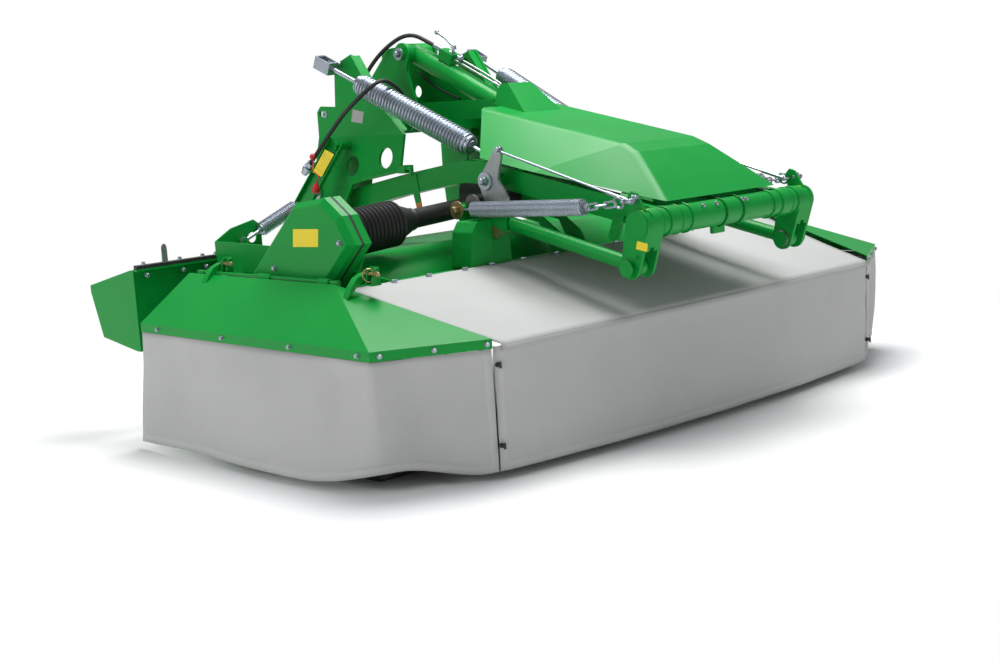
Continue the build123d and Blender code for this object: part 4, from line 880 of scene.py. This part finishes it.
class MOWER_OT_covers(bpy.types.Operator):
    """Bolts, hinge fins and latches of the side covers and the canvas"""
    bl_idname = "mower.covers"
    bl_label = "Cover details"

    def execute(self, context):
        across = context.scene.mower_sizes.bolt / MM
        bolts("flange_bolts", "side_cover_{}", [(-1500, y, 468) for y in (464, 36, -367, -735)], OUT,
              across)
        bolts("nose_bolts", "side_cover_{}", [(-1470, -810, 468), (-1307, -894, 468), (-1146, -977, 468)],
              (-0.46, -0.89, 0), across)

        # pressed fins that stiffen the covers at their hinges, and the latches beside them
        def fins(bm):
            for y in (424, -452):
                cross_plate(bm, y + 20, [(-1308, 610), (-1284, 650), (-1258, 678), (-1222, 692), (-1222, 685),
                                         (-1254, 671), (-1276, 646), (-1300, 610)], 30)
                for offset in (-6, 17):
                    cross_plate(bm, y + offset, [(-1300, 610), (-1276, 648), (-1254, 672), (-1222, 686),
                                                 (-1222, 668), (-1262, 645)], 4)
        detail("cover_fins", fins, "green", "side_cover_{}", bevel=1)
        latch_places = (379, -501)

        def latches(bm):
            for y in latch_places:
                block(bm, v(-1240, y - 22, 650), v(-1200, y + 22, 656))
                block(bm, v(-1212, y - 22, 650), v(-1206, y + 22, 714))
                for offset in (-14, 20):
                    cross_plate(bm, y + offset, [(-1206, 652), (-1212, 712), (-1226, 708), (-1240, 656)], 5)
        detail("cover_latches", latches, "green", "cutting_unit", bevel=1)

        def latch_bolts(bm):
            for y in latch_places:
                rod(bm, v(-1221, y - 24, 690), v(-1221, y + 24, 690), 0.007, 14)
                for offset in (-24, 24):
                    bolt(bm, v(-1221, y + offset, 690), (0, offset, 0), 15)
                bolt(bm, v(-1212, y, 668), OUT, 15)
            ring(bm, v(-1236, -501, 686), (0.6, 1, 0.2), 0.02, 0.0028, stretch=0.005, turn=1.0)
        detail("latch_bolts", latch_bolts, "yellow_zinc", "cutting_unit")

        # bent grip bar beside the belt drive
        grip = route((-1105, -215, 750), (-1094, -250, 782), (-1088, -282, 801), (-1085, -302, 793),
                     (-1085, -303, 760), (-1085, -280, 710), (-1088, -264, 668), (-1104, -262, 645))
        detail("grip_bar", (wire, grip, 0.0075), "green", "cutting_unit", both=False)

        # the front skirt's turn-buttons and the top sheet's rear edge
        def buttons(bm):
            for z, x in ((395, -1113), (120, -1115)):
                at = v(x, -984, z)
                rod(bm, at + v(0, 6, 0), at + v(0, -7, 0), 0.0085, 20)
                rod(bm, at + v(0, -7, 0), at + v(0, -14, 0), 0.004, 12)
                block(bm, at + v(-4, -19, -11), at + v(4, -13, 11))
        detail("skirt_buttons", buttons, "dark", "cutting_unit", bevel=1)

        def rear_buttons(bm):
            for x in (-1029, -861, -678, -540, -370, -180):
                at = v(x, -388, 629)
                rod(bm, at, at + v(0, -1, 5), 0.011, 20)
                block(bm, at + v(-13, -5, 5), at + v(13, 4, 11))
        detail("canvas_buttons", rear_buttons, "zinc", "cutting_unit", bevel=1)
        return {"FINISHED"}


class MOWER_OT_boards(bpy.types.Operator):
    """Rails and lifting eyes of the swath boards"""
    bl_idname = "mower.boards"
    bl_label = "Swath board details"

    def execute(self, context):
        detail("board_rail", (block, *route((-1380, 777, 664.5), (-975, 801, 684))), "dark", "swath_board_{}",
               bevel=2)

        def eye(bm):
            cross_plate(bm, 792, [(-1252, 684), (-1226, 684), (-1227, 742), (-1231, 752), (-1239, 757),
                                  (-1247, 752), (-1251, 742)], 5)
            ring(bm, v(-1239, 789.5, 742), (0, 1, 0), 0.0085, 0.003, 20)
        detail("board_eye", eye, "galvanised", "swath_board_{}")
        for name, y, z, direction in (("board_bolts", 789, 684, (0, 0, 1)),
                                      ("board_face_bolts", 769.5, 642, (0, -1, 0))):
            bolts(name, "swath_board_{}", [(x, y, z) for x in (-1340, -1170, -1060, -995)], direction, 15)
        return {"FINISHED"}


class MOWER_OT_linkage(bpy.types.Operator):
    """Pins, caps, labels and straps of the carrier frame and its hangers"""
    bl_idname = "mower.linkage"
    bl_label = "Linkage details"

    def execute(self, context):
        # tube ends, arm pins and their grease nipples
        def caps(bm):
            round_plate(bm, (-502, -1095, 795), OUT, 50, 0, 4)
            round_plate(bm, (-522, -1055, 642), OUT, 30, 0, 6)
            rod(bm, v(-507, -1091, 682), v(-516, -1091, 686), 0.005, 10)
            rod(bm, v(-404, -1055, 642), v(-396, -1055, 642), 0.03, 28)
        detail("hanger_caps", caps, "green", "cutting_unit", bevel=1)
        film = [(-1094, 740), (-1141, 731), (-1136, 703), (-1086, 711)]
        detail("hanger_label", (side_plate, -502, film, -0.5), "label", "cutting_unit", both=False)

        def tube_bolts(bm):
            for x in (-173, -96, 60, 86):
                bolt(bm, v(x, -1128, 828), (0, -0.7, 0.7), 15)
        detail("tube_bolts", tube_bolts, "zinc", "cutting_unit", both=False)

        # the lever: hub, lock and clevis
        def lever(bm):
            round_plate(bm, (-456, -297, 943), OUT, 36, 18.5, 8)
            bolt(bm, v(-470, -297, 943), OUT, 24, 1.2)
            for x in (-466, -454):
                block(bm, v(x - 2, -398, 1046), v(x + 2, -366, 1074))
            bolt(bm, v(-468, -391, 1064), OUT, 16)
        detail("lever_hub", lever, "zinc", "cutting_unit")

        def lock(bm):
            rod(bm, v(-410, 700, 915), v(-410, 213, 990), 0.009)
            for y, z in ((640, 924), (240, 986)):
                block(bm, v(-420, y - 22, z - 16), v(-371, y + 22, z + 16))
            wire(bm, route((-410, 213, 990), (-410, 196, 993), (-410, 190, 985), (-410, 192, 960)), 0.008)
        detail("lock_rod", lock, "green", "cutting_unit", bevel=1)

        def hanging(bm):
            side_plate(bm, -372, [(201, 966), (246, 958), (214, 840), (181, 850)], -4)
            side_plate(bm, -372, [(181, 850), (214, 840), (208, 812), (176, 820)], -4, index=1)
        detail("beam_strap", hanging, ("green", "amber"), "cutting_unit", both=False)

        # lugs on the beams, collars and weld beads on the front tube
        def beam_lug(bm):
            side_plate(bm, -372, [(-878, 802), (-932, 812), (-906, 738), (-893, 724), (-868, 720),
                                  (-848, 731)], -10)
            ring(bm, v(-382, -884, 751), OUT, 0.0165, 0.0035)
        detail("beam_lug", beam_lug, "green", "cutting_unit")

        def beads(bm):
            for x in (-408, -368, -304, -248, -52, 52):
                ring(bm, v(x, -1095, 795), (1, 0, 0), 0.0515, 0.0045, 36)
        detail("tube_beads", beads, "green", "cutting_unit")
        detail("tube_lug", (block, *route((-83, -1104, 718), (-13, -1086, 750))), "green", "cutting_unit",
               both=False, bevel=3)
        detail("arm_pin_face", (round_plate, (-412, -1055, 642), (1, 0, 0), 34, 0, 10), "blade",
               "cutting_unit")
        detail("tube_end_label", (block, *route((-488, -1112, 844), (-452, -1088, 846.5))), "label",
               "cutting_unit")

        # shackles between the ropes, the chains and the lugs of the front tube
        def shackle(bm):
            for x in (-505, -475):
                block(bm, v(x - 3, -1086, 872), v(x + 3, -1036, 886))
            rod(bm, v(-512, -1078, 879), v(-468, -1078, 879), 0.007, 14)
            bolt(bm, v(-508, -1078, 879), OUT, 17)
            bolt(bm, v(-508, -1044, 879), OUT, 15)
        detail("rope_shackle", shackle, "zinc", "cutting_unit", bevel=1)
        return {"FINISHED"}


class MOWER_OT_hitch(bpy.types.Operator):
    """Valve lever, couplings, plates and pin heads of the headstock"""
    bl_idname = "mower.hitch"
    bl_label = "Headstock details"

    def execute(self, context):
        # the ball valve's lever with its knob, and the valve's fittings
        def lever(bm):
            rod(bm, v(0, 335.5, 1452), v(0, 325, 1479), 0.007)
            wire(bm, route((0, 322, 1481), (0, 346, 1492), (0, 362, 1514), (0, 425, 1547)), 0.0055)
            bmesh.ops.create_uvsphere(bm, u_segments=16, v_segments=12, radius=0.0105,
                                      matrix=Matrix.Translation(v(0, 427, 1548)))
            for y, z in ((346, 1458), (296, 1435)):
                rod(bm, v(0, y, z), v(0, y - 16, z - 8), 0.0135, 6)
            for y, z in ((327, 1473), (291, 1432)):
                bolt(bm, v(0, y, z), (0, -0.418, 0.908), 19)
        detail("valve_lever", lever, "zinc", "cylinder_barrel", both=False)

        def ferrule(bm):
            rod(bm, v(0, 396, 1468.6), v(0, 446, 1491.4), 0.0125, 20)
            rod(bm, v(0, 392.6, 1467), v(0, 404, 1472.3), 0.0145, 6)
        detail("hose_ferrule", ferrule, "zinc", "cylinder_barrel", both=False)
        detail("second_pipe", (wire, route((14, 323, 1430), (14, 300, 1426), (14, 60, 1312), (14, 52, 1300)),
                               0.0045), "galvanised", "cylinder_barrel", both=False)

        # the cylinder's pin, and the hose clipped inside the far cheek
        def pin(bm):
            round_plate(bm, (-98, 575, 1465), OUT, 27, 0, 7)
            bolt(bm, v(-105, 575, 1465), OUT, 24, 0)
        detail("cylinder_pin_head", pin, "zinc", "headstock")
        clipped = route((67, 642, 1386), (67, 600, 1352), (67, 555, 1326), (67, 470, 1286), (67, 382, 1257))
        detail("cheek_hose", (wire, clipped, 0.0048), "rubber", "headstock", both=False)

        detail("data_plate", (side_plate, -372, [(585, 1241), (511, 1228), (527, 1179), (601, 1189)], -1),
               "plate", "headstock", both=False)
        detail("ear_washer", (round_plate, (-372, 780, 1225), OUT, 16, 6, 3), "zinc", "headstock")

        # dust cap of the hose coupler, hanging from its cord
        hanging = route((-502, 716, 1043), (-540, 675, 1017), (-565, 645, 993), (-580, 589, 976),
                        (-580, 592, 960), (-580, 612, 948))
        detail("cap_cord", (wire, hanging, 0.0022), "red", "headstock", both=False)

        def cap(bm):
            profile = [(0, 0.024), (0.0045, 0.022), (0.006, 0.014), (0.0145, 0.004), (0.0175, -0.008),
                       (0.0165, -0.022), (0.009, -0.029), (0, -0.03)]
            turned(bm, profile, facing(v(-580, 613, 927), (0.1, -0.2, 1)), 28)
            bmesh.ops.create_uvsphere(bm, u_segments=16, v_segments=12, radius=0.015,
                                      matrix=Matrix.Translation(v(-508, 712, 1049)))
        detail("coupler_cap", cap, "red", "headstock", both=False)

        # a film lying on the damper arm's outer face
        def arm_label(bm):
            top, foot = route((-462, 618, 1090), (-592, 703, 850))
            run = (foot - top).normalized()
            across = Vector((1, 0, 0.5))
            across = (across - run * across.dot(run)).normalized()
            axes = Matrix((run, run.cross(across), -across)).transposed().to_4x4()
            middle = top + (foot - top) * 0.30 - across * 0.0124
            half_long, half_wide = 0.055, 0.026
            prism(bm, [(-half_long, -half_wide), (half_long, -half_wide), (half_long, half_wide),
                       (-half_long, half_wide)], 0.0006, Matrix.Translation(middle) @ axes)
        detail("arm_label", arm_label, "label", "headstock", both=False)
        return {"FINISHED"}


OPERATORS = (MOWER_OT_stage, MOWER_OT_hose, MOWER_OT_finishes, MOWER_OT_canvas, MOWER_OT_springs,
             MOWER_OT_driveline, MOWER_OT_covers, MOWER_OT_boards, MOWER_OT_linkage, MOWER_OT_hitch)


class MOWER_PT_panel(bpy.types.Panel):
    """Lists the machine's makers in the sidebar"""
    bl_label = "Disc mower conditioner"
    bl_idname = "MOWER_PT_panel"
    bl_space_type = "VIEW_3D"
    bl_region_type = "UI"
    bl_category = "Mower"

    def draw(self, context):
        for group in (context.scene.mower_sizes, context.scene.mower_colours):
            for name in group.bl_rna.properties.keys():
                if name not in ("rna_type", "name"):
                    self.layout.prop(group, name)
        for operator in OPERATORS:
            self.layout.operator(operator.bl_idname)


CLASSES = (MOWER_PG_colours, MOWER_PG_sizes, MOWER_PT_panel) + OPERATORS


def register():
    for cls in CLASSES:
        bpy.utils.register_class(cls)
    bpy.types.Scene.mower_colours = bpy.props.PointerProperty(type=MOWER_PG_colours)
    bpy.types.Scene.mower_sizes = bpy.props.PointerProperty(type=MOWER_PG_sizes)


def unregister():
    del bpy.types.Scene.mower_sizes
    del bpy.types.Scene.mower_colours
    for cls in reversed(CLASSES):
        bpy.utils.unregister_class(cls)


def main():
    register()
    make_materials(bpy.context.scene.mower_colours)
    for operator in OPERATORS:
        group, name = operator.bl_idname.split(".")
        if getattr(getattr(bpy.ops, group), name)() != {"FINISHED"}:
            raise RuntimeError(f"{operator.bl_label} did not finish")


if __name__ == "__main__":
    main()
